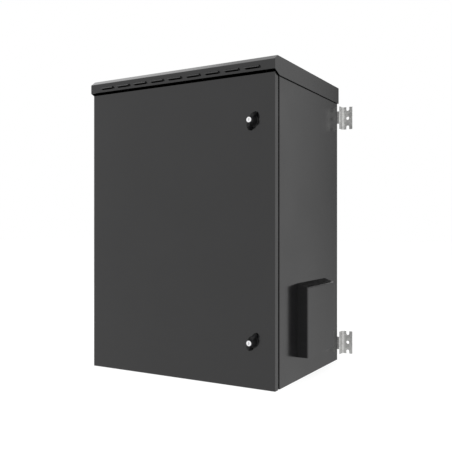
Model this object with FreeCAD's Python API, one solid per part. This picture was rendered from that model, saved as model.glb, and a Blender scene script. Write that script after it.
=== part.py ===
import FreeCAD, Part
import math
import os

from FreeCAD import Vector

# Wall mount network cabinet, in millimetres.
# While it is modelled, x runs to the right seen from the front, y runs from the door's face (y = 0) to the rear,
# z runs up from the underside (z = 0). The last step moves everything back along y, so that the origin
# lies under the middle of the whole cabinet.

# Overall sizes
cabinet_width = 600.0
cabinet_height = 850.0
cabinet_depth = 450.0          # door face to rear panel
roof_rise = 38.0               # roof top above the body's top plate
door_top_drop = 4.6            # door top below the body's top plate

# Sheet metal
body_sheet = 1.5
roof_sheet = 1.5
door_sheet = 1.5
bend_radius = 0.8              # inside radius of every fold

# Front frame that the door closes on
door_gap = 8.5                 # door's rear edge to the body
frame_inset = 31.0             # door's edge to the frame's rim
frame_flange = 14.0            # sealing face, rim to opening
seal_depth = 11.0              # door face to sealing face
seal_clearance = 0.3           # gasket to sealing face

# Door
door_thickness = 18.5
door_hem = 12.0
door_edge_radius = 1.2
gasket_width = 10.0
gasket_corner = 10.0
stiffener_inset = 110.0        # door edge to the middle of a stiffener
stiffener_crown = 20.0         # width of the raised middle
stiffener_foot = 8.0
stiffener_height = 9.5
stiffener_sheet = 1.2
stiffener_end_gap = 55.0
stiffener_hole = 8.0
stiffener_pitch = 40.0

# Hinges, concealed behind the door's left edge
hinge_inset_x = 12.0           # pin axis to door edge
hinge_inset_y = 7.0            # pin axis to door face
hinge_inset_z = 125.0          # hinge to each end of the door
hinge_pin_radius = 2.5
hinge_knuckle_radius = 4.5
hinge_knuckle_height = 20.0
hinge_leaf_height = 45.0
hinge_leaf_sheet = 2.0
hinge_leaf_end_gap = 1.5       # leaf's leg to the body's front flange
hinge_pad_width = 24.0
hinge_pad_sheet = 2.5
hinge_play = 0.3               # between the two knuckles
running_clearance = 0.05       # radial, wherever one piece turns in another

# Locks
lock_inset_x = 62.2
lock_inset_z = 120.0
rosette_radius = 15.5
rosette_height = 3.0
lock_neck_radius = 11.0
lock_neck_length = 12.0        # behind the door face
lock_hole_clearance = 0.2
lock_nut_flats = 27.0
lock_nut_height = 5.0
spindle_radius = 6.0
spindle_square = 8.0
knob_gap = 0.3                 # knob to rosette
knob_front = 21.0              # knob's front above the door face
knob_base_radius = 14.0
knob_nose_radius = 8.6
wing_half_length = 26.0
wing_width = 13.0
wing_top_half_length = 17.0
wing_top_width = 10.0
wing_top = 18.0
wing_corner = 3.0
wing_tilt = 25.0               # degrees clockwise from upright
plug_radius = 7.0
plug_front = 24.0
plug_length = 17.0
plug_floor_gap = 0.3
key_slot_width = 2.6
key_slot_height = 8.0
key_slot_depth = 6.0
cam_gap = 1.0                  # cam behind the sealing face's metal
cam_thickness = 3.0
cam_width = 14.0
cam_reach = 28.0
cam_tail = 9.0
cam_bolt_radius = 2.5
cam_bolt_flats = 8.0
cam_bolt_head = 3.5
cam_bolt_grip = 10.0

# Roof
roof_front_overhang = 8.0      # in front of the door face
roof_side_overhang = 4.0
roof_rear_overhang = 2.0
roof_chamfer_depth = 16.5
roof_chamfer_height = 12.3
skirt_height = 48.7
fascia_height = 36.9           # roof top down to the front edge
skirt_slant = 28.0             # run of the slanted edge from fascia to skirt
roof_edge_radius = 1.2
louvre_width = 42.0
louvre_height = 8.0
louvre_proud = 6.5
louvre_drop = 22.6             # roof top to louvre top
louvre_face = 2.5              # upright part of each louvre
louvre_mouth = 2.0             # slot below the louvre's lip
louvre_sheet = 1.2
louvre_pitch = 60.0
louvre_margin = 40.0
stud_radius = 4.0
stud_hole_clearance = 0.3
stud_tail = 8.0                # below the nut's seat
stud_nut_flats = 13.0
stud_nut_height = 6.5
spacer_radius = 8.0
spacer_inset_x = 60.0
spacer_front = 85.0
spacer_rear_inset = 60.0
top_slot_length = 60.0
top_slot_width = 6.0
top_slot_pitch = 18.0
top_slot_margin = 130.0
top_slot_front = 140.0         # door face to the first row's middle
top_slot_rear_gap = 110.0      # least room behind the last row's middle
top_slot_row_pitch = 85.0

# Wall brackets
bracket_sheet = 2.5
bracket_neck = 8.0             # beyond the cabinet's side
bracket_neck_height = 38.6
bracket_plate = 60.0           # overlap on the rear panel
bracket_stand = 20.0
bracket_facet = 5.0
bracket_reach = 39.5
bracket_height = 70.0
bracket_inset_bottom = 52.0
bracket_inset_top = 54.0
bracket_hole_radius = 5.0
bracket_hole_inset = 14.5      # holes to the flange's outer edge
bracket_notch_depth = 12.0
bracket_bolt_radius = 3.0
bracket_bolt_clearance = 0.3
bracket_bolt_flats = 10.0
bracket_bolt_head = 4.0
bracket_bolt_tail = 9.0
bracket_bolt_insets = (20.0, 45.0)
nut_height = 5.0

# Rack rails and the depth rails that carry them
rack_unit = 44.45
rack_hole_spacing = 465.1
rack_opening = 450.8
rack_hole = 9.5
rack_hole_steps = (6.35, 22.225, 38.1)
rail_end = 6.0
rail_sheet = 2.0
rail_face_width = 24.3         # each rail, from the opening to its outside
rail_web = 35.0
rail_lip = 12.0
rail_front = 75.0              # door face to rail face
rail_bolt_setback = 18.0
rail_bolt_inset = 33.0
rail_bolt_radius = 3.0
rail_bolt_flats = 10.0
rail_bolt_head = 4.0
rail_play = 0.3                # sliding gap to the depth rail
depth_rail_height = 40.0
depth_rail_foot = 20.0
depth_rail_front_gap = 16.5
depth_rail_rear_gap = 13.5
slot_clearance = 0.3
slot_end_gap = 20.0

# Vent hood on the right side
hood_front = 140.0
hood_bottom = 62.0
hood_length = 202.0
hood_height = 201.0
hood_projection = 30.5
hood_end_taper = 1.0
hood_top_fall = 11.5
hood_edge_radius = 3.0
hood_sheet = 1.5
hood_flange = 12.0
rivet_radius = 2.0
rivet_head_radius = 3.6
rivet_head_height = 1.2
rivet_count = 3

# Filter and fan behind the hood
fan_rise = 104.0               # fan axis above the hood's lower edge
fan_size = 119.0
fan_depth = 25.0
fan_bore_radius = 57.5
fan_corner = 6.0
fan_hole_spacing = 105.0
fan_hole_radius = 2.2
fan_screw_radius = 2.0
fan_screw_flats = 7.0
fan_screw_head = 2.8
stator_radius = 18.0
stator_depth = 3.0
strut_width = 5.0
shaft_radius = 1.5
impeller_hub_radius = 20.0
impeller_tip_radius = 55.5
impeller_start_gap = 3.0
impeller_end_gap = 1.2
blade_count = 7
blade_sheet = 1.4
blade_sweep = 11.0             # half of the blade's run round the hub
blade_camber = 3.0
guard_sheet = 1.0
guard_rings = ((14.0, 22.0), (25.0, 33.0), (36.0, 44.0), (47.0, 55.0))
guard_spoke = 5.0
filter_size = 132.0
filter_depth = 10.0
filter_opening = 112.0
filter_post = 16.0
filter_clearance = 0.3
vent_slot_width = 6.0
vent_slot_pitch = 14.0
vent_slot_height = 96.0

# Cable entry in the floor
entry_length = 200.0
entry_width = 60.0
entry_rear_gap = 55.0
gland_margin = 20.0
gland_gasket_sheet = 2.0
gland_sheet = 2.0
cable_slot_length = 160.0
cable_slot_width = 30.0
trim_lip = 4.0
trim_wall = 2.0
trim_sheet = 1.3
gland_screw_radius = 2.5
gland_screw_flats = 8.0
gland_screw_head = 3.0

# Earth stud
earth_radius = 4.0
earth_length = 26.0
earth_rear_gap = 48.5          # stud to the rear panel
earth_z = 45.0
earth_flats = 13.0
earth_nut_height = 6.5
earth_washer_radius = 8.5
earth_washer_height = 1.6

# Places worked out from the sizes above
half = cabinet_width / 2
inner_half = half - body_sheet
body_top = cabinet_height - roof_rise
body_front = door_thickness + door_gap
rear_inside = cabinet_depth - body_sheet
door_height = body_top - door_top_drop
rim = half - frame_inset
opening_half = rim - frame_flange
rim_bottom = frame_inset
rim_top = door_height - frame_inset
opening_bottom = rim_bottom + frame_flange
opening_top = rim_top - frame_flange
seal_back = seal_depth + body_sheet

lock_x = half - lock_inset_x
lock_heights = {"lower": lock_inset_z, "upper": door_height - lock_inset_z}
hinge_x = -half + hinge_inset_x
hinge_y = hinge_inset_y
hinge_heights = (hinge_inset_z, door_height - hinge_inset_z)

roof_half = half + roof_side_overhang
roof_front = -roof_front_overhang
roof_rear = cabinet_depth + roof_rear_overhang
roof_inside = cabinet_height - roof_sheet
skirt_bottom = cabinet_height - skirt_height
fascia_bottom = cabinet_height - fascia_height
spacer_places = [(side * (half - spacer_inset_x), y)
                 for side in (-1, 1) for y in (spacer_front, cabinet_depth - spacer_rear_inset)]

bracket_heights = {"lower": bracket_inset_bottom, "upper": body_top - bracket_inset_top}
wall_plane = cabinet_depth + bracket_stand + bracket_facet + bracket_sheet

rail_outside = rack_opening / 2 + rail_face_width
rail_face = rail_outside + rail_play
rack_units = int((opening_top - opening_bottom) // rack_unit)
rail_length = rack_units * rack_unit + 2 * rail_end
rail_bottom = (opening_bottom + opening_top - rail_length) / 2
rail_top = rail_bottom + rail_length
depth_rail_heights = {"lower": rail_bottom + rail_bolt_inset, "upper": rail_top - rail_bolt_inset}
depth_rail_start = body_front + body_sheet + depth_rail_front_gap
depth_rail_end = rear_inside - depth_rail_rear_gap

hood_rear = hood_front + hood_length
hood_top = hood_bottom + hood_height
fan_y = hood_front + hood_length / 2
fan_z = hood_bottom + fan_rise
filter_back = inner_half - filter_depth
fan_back = filter_back - fan_depth
guard_back = fan_back - guard_sheet

gland_top = body_sheet + gland_gasket_sheet + gland_sheet
entry_y = rear_inside - entry_rear_gap - entry_width / 2
earth_y = rear_inside - earth_rear_gap

front_most = -plug_front
middle_y = (front_most + wall_plane) / 2


# Plain shapes along the x, y or z axis

def at(axis, u, v, w):
    """A point from two coordinates across an axis and one along it."""
    if axis == "x":
        return Vector(w, u, v)
    if axis == "y":
        return Vector(u, w, v)
    return Vector(u, v, w)


def box(x0, x1, y0, y1, z0, z1):
    return Part.makeBox(x1 - x0, y1 - y0, z1 - z0, Vector(x0, y0, z0))


def rod(radius, axis, u, v, low, high):
    return Part.makeCylinder(radius, high - low, at(axis, u, v, low), at(axis, 0, 0, 1))


def corner_points(before, corner, after, radius):
    """The corner itself, or where its arc starts, passes its middle and ends."""
    if radius <= 0:
        return [corner]
    legs = []
    for end in (before, after):
        du, dv = end[0] - corner[0], end[1] - corner[1]
        length = math.hypot(du, dv)
        legs.append((du / length, dv / length))
    (au, av), (bu, bv) = legs
    half_angle = math.acos(au * bu + av * bv) / 2
    reach = radius / math.tan(half_angle)
    mu, mv = au + bu, av + bv
    length = math.hypot(mu, mv)
    inward = radius / math.sin(half_angle) - radius
    return [(corner[0] + au * reach, corner[1] + av * reach),
            (corner[0] + mu / length * inward, corner[1] + mv / length * inward),
            (corner[0] + bu * reach, corner[1] + bv * reach)]


def outline(points, radii, axis, level):
    """A closed wire across an axis, each corner turned with its own radius."""
    count = len(points)
    if not isinstance(radii, (list, tuple)):
        radii = [radii] * count
    corners = []
    for i in range(count):
        corners.append(corner_points(points[i - 1], points[i], points[(i + 1) % count], radii[i]))
    edges = []
    for i in range(count):
        here = [at(axis, u, v, level) for u, v in corners[i]]
        after = at(axis, corners[(i + 1) % count][0][0], corners[(i + 1) % count][0][1], level)
        if len(here) == 3:
            edges.append(Part.Arc(*here).toShape())
        if here[-1].distanceToPoint(after) > 1e-6:
            edges.append(Part.LineSegment(here[-1], after).toShape())
    return Part.Wire(edges)


def plate(points, radii, axis, low, high):
    """The solid of a closed outline between two levels of an axis."""
    return Part.Face(outline(points, radii, axis, low)).extrude(at(axis, 0, 0, high - low))


def rectangle(u0, u1, v0, v1):
    return [(u0, v0), (u1, v0), (u1, v1), (u0, v1)]


def hexagon(flats, axis, u, v, low, high):
    reach = flats / math.sqrt(3)
    turns = [math.radians(60 * i) for i in range(6)]
    return plate([(u + reach * math.cos(a), v + reach * math.sin(a)) for a in turns], 0, axis, low, high)


def inset_path(path, sheet):
    """The other face of a sheet that lies to the left of an open path."""
    normals = []
    for (u0, v0), (u1, v1) in zip(path, path[1:]):
        length = math.hypot(u1 - u0, v1 - v0)
        normals.append(((v0 - v1) / length, (u1 - u0) / length))
    result = []
    for i, (u, v) in enumerate(path):
        au, av = normals[max(i - 1, 0)]
        bu, bv = normals[min(i, len(normals) - 1)]
        share = sheet / (1 + au * bu + av * bv)
        result.append((u + (au + bu) * share, v + (av + bv) * share))
    return result


def folded(path, sheet, axis, low, high):
    """A sheet folded along an open path, with the metal to the left of the path."""
    near, far = [0.0], [0.0]
    for (u0, v0), (u1, v1), (u2, v2) in zip(path, path[1:], path[2:]):
        left_turn = (u1 - u0) * (v2 - v1) - (v1 - v0) * (u2 - u1) > 0
        near.append(bend_radius + (sheet if left_turn else 0))
        far.append(bend_radius + (0 if left_turn else sheet))
    near.append(0.0)
    far.append(0.0)
    points = list(path) + inset_path(path, sheet)[::-1]
    return plate(points, near + far[::-1], axis, low, high)


def bolt(axis, u, v, seat, tip, radius, flats, head):
    """A hexagon bolt whose head sits on one level and whose shank ends at another."""
    away = -1 if tip > seat else 1
    shank = rod(radius, axis, u, v, min(seat, tip), max(seat, tip))
    return shank.fuse(hexagon(flats, axis, u, v, min(seat, seat + away * head), max(seat, seat + away * head)))


def nut(axis, u, v, low, high, radius, flats):
    return hexagon(flats, axis, u, v, low, high).cut(rod(radius, axis, u, v, low, high))


def fused(shapes):
    first, *others = shapes
    return first.fuse(others).removeSplitter() if others else first


def other_side(shape):
    return shape.mirror(Vector(0, 0, 0), Vector(1, 0, 0))


def save(name, *shapes):
    """Moves the pieces into the final frame and writes them as one node."""
    solids = [solid for shape in shapes for solid in shape.Solids]
    group = Part.makeCompound(solids) if len(solids) > 1 else solids[0]
    group = group.copy()
    group.translate(Vector(0, -middle_y, 0))
    if not group.isValid():
        raise ValueError(name + " is not a valid solid")
    group.exportStep(os.path.join("parts", name + ".step"))
    print("%-26s %2d solids %12.1f mm3" % (name, len(solids), group.Volume))


# Body

def vent_slots():
    """Upright slots in the right side, behind the hood."""
    reach = int(fan_bore_radius // vent_slot_pitch)
    slots = []
    for i in range(-reach, reach + 1):
        y = fan_y + i * vent_slot_pitch
        across = min(vent_slot_height / 2, math.sqrt(fan_bore_radius ** 2 - (y - fan_y) ** 2))
        corners = rectangle(y - vent_slot_width / 2, y + vent_slot_width / 2, fan_z - across, fan_z + across)
        slots.append(plate(corners, vent_slot_width / 2 - 0.1, "x", inner_half - 1, half + 1))
    return slots


def fan_screw_places():
    reach = fan_hole_spacing / 2
    return [(fan_y + a * reach, fan_z + b * reach) for a in (-1, 1) for b in (-1, 1)]


def hood_rivet_places():
    """Rivets along the hood's front and rear flanges, and two along its top flange."""
    middle = hood_flange / 2
    step = (hood_height - 2 * hood_flange) / rivet_count
    places = []
    for i in range(rivet_count):
        z = hood_bottom + hood_flange + step * (i + 0.5)
        places += [(hood_front + middle, z), (hood_rear - middle, z)]
    for share in (0.3, 0.7):
        places.append((hood_front + share * hood_length, hood_top - middle))
    return places


def bracket_bolt_places():
    return [(side * (half - inset), z) for side in (-1, 1)
            for inset in bracket_bolt_insets for z in bracket_heights.values()]


def body_wrap():
    """Sides and rear in one folded sheet, with flanges turned in at the front."""
    path = [(rim, body_front), (half, body_front), (half, cabinet_depth),
            (-half, cabinet_depth), (-half, body_front), (-rim, body_front)]
    wrap = folded(path, body_sheet, "z", 0, body_top)
    holes = vent_slots()
    holes += [rod(fan_hole_radius, "x", y, z, inner_half - 1, half + 1) for y, z in fan_screw_places()]
    holes += [rod(rivet_radius, "x", y, z, inner_half - 1, half + 1) for y, z in hood_rivet_places()]
    hole_radius = bracket_bolt_radius + bracket_bolt_clearance
    holes += [rod(hole_radius, "y", x, z, rear_inside - 1, cabinet_depth + 1) for x, z in bracket_bolt_places()]
    return wrap.cut(holes)


def end_plate(top):
    """The floor or the top plate, with its front flange."""
    if top:
        path = [(rear_inside, body_top), (body_front, body_top), (body_front, rim_top)]
        low = body_top - body_sheet
    else:
        path = [(body_front, rim_bottom), (body_front, 0), (rear_inside, 0)]
        low = 0
    middle = folded(path, body_sheet, "x", -rim, rim)
    start = body_front + body_sheet
    wings = []
    for side in (-1, 1):
        inner, outer = sorted((side * (rim - body_sheet), side * inner_half))
        corners = rectangle(inner, outer, start + bend_radius, rear_inside)
        outer_corners = (2,) if side > 0 else (3,)
        radii = [bend_radius if i in outer_corners else 0 for i in range(4)]
        wings.append(plate(corners, radii, "z", low, low + body_sheet))
    return fused([middle] + wings)


def gland_screw_places():
    across = entry_length / 2 + gland_margin / 2
    deep = entry_width / 2 + gland_margin / 2
    return [(a * across, entry_y + b * deep) for a in (-1, 0, 1) for b in (-1, 1)]


def bottom_plate():
    floor = end_plate(top=False)
    entry = plate(rectangle(-entry_length / 2, entry_length / 2, entry_y - entry_width / 2,
                            entry_y + entry_width / 2), gasket_corner / 2, "z", -1, body_sheet + 1)
    screws = [rod(gland_screw_radius, "z", x, y, -1, body_sheet + 1) for x, y in gland_screw_places()]
    return floor.cut([entry] + screws)


def top_plate():
    """Top plate with rows of vent slots that let warm air into the space under the roof."""
    cover = end_plate(top=True)
    low, high = body_top - body_sheet - 1, body_top + 1
    count = int((cabinet_width - 2 * top_slot_margin) // top_slot_pitch)
    rows = int((cabinet_depth - top_slot_front - top_slot_rear_gap) // top_slot_row_pitch) + 1
    holes = [rod(stud_radius + stud_hole_clearance, "z", x, y, low, high) for x, y in spacer_places]
    for row in range(rows):
        y = top_slot_front + row * top_slot_row_pitch
        for i in range(count + 1):
            x = (i - count / 2) * top_slot_pitch
            holes.append(box(x - top_slot_width / 2, x + top_slot_width / 2,
                             y - top_slot_length / 2, y + top_slot_length / 2, low, high))
    return cover.cut(holes)


def front_frame():
    """Raised rim round the opening: four strips on edge, welded at the corners and to the body's flanges."""
    back = body_front + body_sheet
    inside = rim - body_sheet
    strips = [box(low, low + body_sheet, seal_back, back, rim_bottom, rim_top) for low in (-rim, inside)]
    strips += [box(-inside, inside, seal_back, back, low, low + body_sheet)
               for low in (rim_bottom, rim_top - body_sheet)]
    return strips


def sealing_face():
    """Flat ring welded to the front of the rim, which the door gasket closes on."""
    ring = box(-rim, rim, seal_depth, seal_back, rim_bottom, rim_top)
    ring = ring.makeFillet(bend_radius - 0.1, [edge for edge in ring.Edges
                                               if edge.BoundBox.YMax < seal_depth + 0.01])
    return ring.cut(plate(rectangle(-opening_half, opening_half, opening_bottom, opening_top),
                          bend_radius, "y", seal_depth, seal_back))


# Roof

def louvre(x):
    """One pressed louvre, closed at its ends and open below, and the slot behind it."""
    top = cabinet_height - louvre_drop
    bottom = top - louvre_height
    face = roof_front - louvre_proud
    lip = bottom + louvre_mouth
    path = [(roof_front, top), (face, lip + louvre_face), (face, lip)]
    left, right = x - louvre_width / 2, x + louvre_width / 2
    shell = plate(path + [(roof_front, lip)], [0, louvre_proud / 2, 0, 0], "x", left, right)
    inner = inset_path(path, louvre_sheet)
    behind = roof_front + roof_sheet + 1
    hollow = [(behind, inner[0][1] - louvre_sheet), inner[0], inner[1], (inner[2][0], bottom), (behind, bottom)]
    cavity = plate(hollow, 0, "x", left + louvre_sheet, right - louvre_sheet)
    return shell, cavity


def canopy_roof():
    """Rain roof: one shell with side skirts, a chamfered front and a row of louvres in its fascia."""
    path = [(roof_rear, skirt_bottom), (roof_rear, cabinet_height),
            (roof_front + roof_chamfer_depth, cabinet_height),
            (roof_front, cabinet_height - roof_chamfer_height), (roof_front, fascia_bottom)]
    turn = roof_edge_radius + roof_sheet
    sides = plate(path + [(roof_front + skirt_slant, skirt_bottom)], [0, turn, turn, turn, 0, 0],
                  "x", -roof_half, roof_half)
    ends = [edge for edge in sides.Edges
            if abs(abs(edge.CenterOfMass.x) - roof_half) < 0.01 and not edge_is_low(edge)]
    shell = sides.makeFillet(roof_edge_radius, ends)
    inner = inset_path(path, roof_sheet)
    below = skirt_bottom - 1
    inner[0] = (inner[0][0], below)
    inner[-1] = (inner[-1][0], below)
    hollow = plate(inner, [0, roof_edge_radius, roof_edge_radius, roof_edge_radius, 0],
                   "x", -roof_half + roof_sheet, roof_half - roof_sheet)
    shell = shell.cut(hollow)
    span = 2 * (roof_half - louvre_margin) - louvre_width
    last = int(span // louvre_pitch)
    parts = [louvre((i - last / 2) * louvre_pitch) for i in range(last + 1)]
    shell = shell.fuse([scoop for scoop, cavity in parts])
    return shell.cut([cavity for scoop, cavity in parts])


def edge_is_low(edge):
    """True for the roof's open lower edges, which are not folded."""
    low = min(vertex.Z for vertex in edge.Vertexes)
    high = max(vertex.Z for vertex in edge.Vertexes)
    return high < fascia_bottom + 0.01 and low < fascia_bottom + 0.01


def roof_studs():
    low = body_top - body_sheet - stud_nut_height - stud_tail
    return [rod(stud_radius, "z", x, y, low, roof_inside) for x, y in spacer_places]


def roof_spacers():
    bore = stud_radius + stud_hole_clearance
    return [rod(spacer_radius, "z", x, y, body_top, roof_inside).cut(rod(bore, "z", x, y, body_top, roof_inside))
            for x, y in spacer_places]


def roof_nuts():
    seat = body_top - body_sheet
    return [nut("z", x, y, seat - stud_nut_height, seat, stud_radius, stud_nut_flats)
            for x, y in spacer_places]


# Wall brackets

def wall_bracket(height):
    """The right-hand bracket at one height: bolted to the rear, stepped out and back to the wall."""
    out = half + bracket_neck
    back = cabinet_depth + bracket_stand
    path = [(half - bracket_plate, cabinet_depth), (out, cabinet_depth), (out, back),
            (out + bracket_facet, back + bracket_facet), (half + bracket_reach, back + bracket_facet)]
    low, high = height - bracket_height / 2, height + bracket_height / 2
    strip = folded(path, bracket_sheet, "z", low, high)
    neck_low, neck_high = height - bracket_neck_height / 2, height + bracket_neck_height / 2
    inner_end, outer_end = half - bracket_plate - 1, out + 1
    front, rear = cabinet_depth - 1, cabinet_depth + bracket_sheet + bend_radius
    cuts = [box(inner_end, outer_end, front, rear, low - 1, neck_low),
            box(inner_end, outer_end, front, rear, neck_high, high + 1)]
    hole_x = half + bracket_reach - bracket_hole_inset
    flange_front, flange_back = back + bracket_facet - 1, wall_plane + 1
    cuts.append(rod(bracket_hole_radius, "y", hole_x, height, flange_front, flange_back))
    for end, tip in ((low, low + bracket_notch_depth), (high, high - bracket_notch_depth)):
        outward = -1 if end == low else 1
        centre = tip + outward * bracket_hole_radius
        cuts.append(rod(bracket_hole_radius, "y", hole_x, centre, flange_front, flange_back))
        cuts.append(box(hole_x - bracket_hole_radius, hole_x + bracket_hole_radius, flange_front, flange_back,
                        min(centre, end + outward), max(centre, end + outward)))
    bolt_bore = bracket_bolt_radius + bracket_bolt_clearance
    cuts += [rod(bolt_bore, "y", half - inset, height, front, rear) for inset in bracket_bolt_insets]
    return strip.cut(cuts)


def bracket_bolts():
    seat, tip = cabinet_depth + bracket_sheet, rear_inside - bracket_bolt_tail
    return [bolt("y", x, z, seat, tip, bracket_bolt_radius, bracket_bolt_flats, bracket_bolt_head)
            for x, z in bracket_bolt_places()]


def bracket_nuts():
    return [nut("y", x, z, rear_inside - nut_height, rear_inside, bracket_bolt_radius, bracket_bolt_flats)
            for x, z in bracket_bolt_places()]


# Rack rails

def depth_rail(level):
    """The right-hand depth rail at one level, welded to the side, with one long slot."""
    z = depth_rail_heights[level]
    reach = depth_rail_height / 2
    if level == "lower":
        path = [(rail_face, z + reach), (rail_face, z - reach), (inner_half, z - reach),
                (inner_half, z - reach + depth_rail_foot)]
    else:
        path = [(inner_half, z + reach - depth_rail_foot), (inner_half, z + reach),
                (rail_face, z + reach), (rail_face, z - reach)]
    rail = folded(path, rail_sheet, "y", depth_rail_start, depth_rail_end)
    slot_half = rail_bolt_radius + slot_clearance
    corners = rectangle(depth_rail_start + slot_end_gap, depth_rail_end - slot_end_gap, z - slot_half, z + slot_half)
    return rail.cut(plate(corners, slot_half - 0.05, "x", rail_face - 1, rail_face + rail_sheet + 1))


def rack_rail():
    """The right-hand rack rail, with three square holes to each rack unit."""
    path = [(rack_opening / 2, rail_front), (rail_outside, rail_front), (rail_outside, rail_front + rail_web),
            (rail_outside - rail_lip, rail_front + rail_web)]
    rail = folded(path, rail_sheet, "z", rail_bottom, rail_top)
    x, reach = rack_hole_spacing / 2, rack_hole / 2
    holes = []
    for unit in range(rack_units):
        for step in rack_hole_steps:
            z = rail_bottom + rail_end + unit * rack_unit + step
            holes.append(box(x - reach, x + reach, rail_front - 1, rail_front + rail_sheet + 1, z - reach, z + reach))
    y = rail_front + rail_bolt_setback
    for z in depth_rail_heights.values():
        holes.append(rod(rail_bolt_radius, "x", y, z, rail_outside - rail_sheet - 1, rail_outside + 1))
    return rail.cut(holes)


def rail_bolts():
    """Clamp bolts that carry the right-hand rack rail in the depth rails' slots."""
    y = rail_front + rail_bolt_setback
    nut_seat = rail_face + rail_sheet + rail_play
    seat, tip = rail_outside - rail_sheet, nut_seat + nut_height + 2
    bolts = [bolt("x", y, z, seat, tip, rail_bolt_radius, rail_bolt_flats, rail_bolt_head)
             for z in depth_rail_heights.values()]
    nuts = [nut("x", y, z, nut_seat, nut_seat + nut_height, rail_bolt_radius, rail_bolt_flats)
            for z in depth_rail_heights.values()]
    return bolts, nuts


# Vent hood, filter and fan

def hood_section(distance, inward, bottom):
    """The hood's outline at one distance from the side panel."""
    share = distance / hood_projection
    corners = rectangle(hood_front + hood_end_taper * share + inward, hood_rear - hood_end_taper * share - inward,
                        bottom, hood_top - hood_top_fall * share - inward)
    return outline(corners, 0, "x", half + distance)


def hood_block(start, end, inward, bottom, radius):
    """The hood's form between two distances from the side, rounded round its outer face but for the lower edge."""
    block = Part.makeLoft([hood_section(start, inward, bottom), hood_section(end, inward, bottom)], True, True)
    return block.makeFillet(radius, [edge for edge in block.Edges
                                     if edge.BoundBox.XMin > half + end - 0.01 and edge.BoundBox.ZMax > bottom + 0.01])


def vent_hood():
    """Rain hood with a sloped top and rounded outer edges, open below, with flanges turned in."""
    shell = hood_block(0, hood_projection, 0, hood_bottom, hood_edge_radius)
    hollow = hood_block(hood_sheet, hood_projection - hood_sheet, hood_sheet, hood_bottom - 1,
                        hood_edge_radius - hood_sheet)
    window = box(half - 1, half + hood_sheet + 1, hood_front + hood_flange, hood_rear - hood_flange,
                 hood_bottom - 1, hood_top - hood_flange)
    rivets = [rod(rivet_radius, "x", y, z, half - 1, half + hood_sheet + 1) for y, z in hood_rivet_places()]
    return shell.cut([hollow, window] + rivets)


def hood_rivets():
    rivets = []
    for y, z in hood_rivet_places():
        shank = rod(rivet_radius, "x", y, z, inner_half, half + hood_sheet)
        inner = rod(rivet_head_radius, "x", y, z, inner_half - rivet_head_height, inner_half)
        outer = rod(rivet_head_radius, "x", y, z, half + hood_sheet, half + hood_sheet + rivet_head_height)
        rivets.append(fused([shank, inner, outer]))
    return rivets


def square_at_fan(size):
    return rectangle(fan_y - size / 2, fan_y + size / 2, fan_z - size / 2, fan_z + size / 2)


def corner_posts(size, post):
    """Square posts in the four corners of the filter's opening."""
    reach = size / 2
    posts = []
    for a in (-1, 1):
        for b in (-1, 1):
            y0, y1 = sorted((fan_y + a * (reach - post), fan_y + a * (reach + 1)))
            z0, z1 = sorted((fan_z + b * (reach - post), fan_z + b * (reach + 1)))
            posts.append(box(filter_back, inner_half, y0, y1, z0, z1))
    return posts


def filter_frame():
    ring = plate(square_at_fan(filter_size), fan_corner, "x", filter_back, inner_half)
    ring = ring.cut(plate(square_at_fan(filter_opening), 0, "x", filter_back, inner_half))
    ring = fused([ring] + corner_posts(filter_opening, filter_post))
    return ring.cut([rod(fan_hole_radius, "x", y, z, filter_back, inner_half) for y, z in fan_screw_places()])


def filter_mat():
    gap = filter_clearance
    mat = plate(square_at_fan(filter_opening - 2 * gap), 0, "x", filter_back + gap, inner_half - gap)
    return mat.cut(corner_posts(filter_opening, filter_post + gap))


def fan_frame():
    """Fan housing with its bore, four struts and the bearing seat of the motor."""
    housing = plate(square_at_fan(fan_size), fan_corner, "x", fan_back, filter_back)
    housing = housing.cut(rod(fan_bore_radius, "x", fan_y, fan_z, fan_back, filter_back))
    stator_back = filter_back - stator_depth
    struts = []
    for turn in (45, 135):
        strut = box(stator_back, filter_back, fan_y - fan_bore_radius - 1, fan_y + fan_bore_radius + 1,
                    fan_z - strut_width / 2, fan_z + strut_width / 2)
        strut.rotate(Vector(0, fan_y, fan_z), Vector(1, 0, 0), turn)
        struts.append(strut)
    seat = rod(stator_radius, "x", fan_y, fan_z, stator_back, filter_back)
    body = fused([housing, seat] + struts)
    bores = [rod(fan_hole_radius, "x", y, z, fan_back, filter_back) for y, z in fan_screw_places()]
    bores.append(rod(shaft_radius + running_clearance, "x", fan_y, fan_z, stator_back, filter_back))
    return body.cut(bores)


def fan_impeller():
    """Hub with curved blades, pressed on the shaft."""
    start = fan_back + impeller_start_gap
    end = filter_back - stator_depth - impeller_end_gap
    middle = (start + end) / 2
    reach = (end - start) / 2
    hub = rod(impeller_hub_radius, "x", fan_y, fan_z, start, end)
    hub = hub.makeFillet(2.0, [edge for edge in hub.Edges if edge.BoundBox.XMax < start + 0.01])
    top = fan_z + impeller_hub_radius - 2

    def spot(share, bulge):
        return Vector(middle + share * reach, fan_y + share * blade_sweep - bulge, top)

    near = Part.Arc(spot(-1, 0), spot(0, blade_camber), spot(1, 0)).toShape()
    far = Part.Arc(spot(1, blade_sheet), spot(0, blade_camber + blade_sheet), spot(-1, blade_sheet)).toShape()
    sides = [Part.LineSegment(spot(1, 0), spot(1, blade_sheet)).toShape(),
             Part.LineSegment(spot(-1, blade_sheet), spot(-1, 0)).toShape()]
    section = Part.Face(Part.Wire([near, sides[0], far, sides[1]]))
    blade = section.extrude(Vector(0, 0, impeller_tip_radius))
    blade = blade.common(rod(impeller_tip_radius, "x", fan_y, fan_z, start, end))
    blades = []
    for i in range(blade_count):
        copy = blade.copy()
        copy.rotate(Vector(0, fan_y, fan_z), Vector(1, 0, 0), 360.0 * i / blade_count)
        blades.append(copy)
    return hub.fuse(blades).cut(rod(shaft_radius, "x", fan_y, fan_z, start + 2, end))


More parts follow.
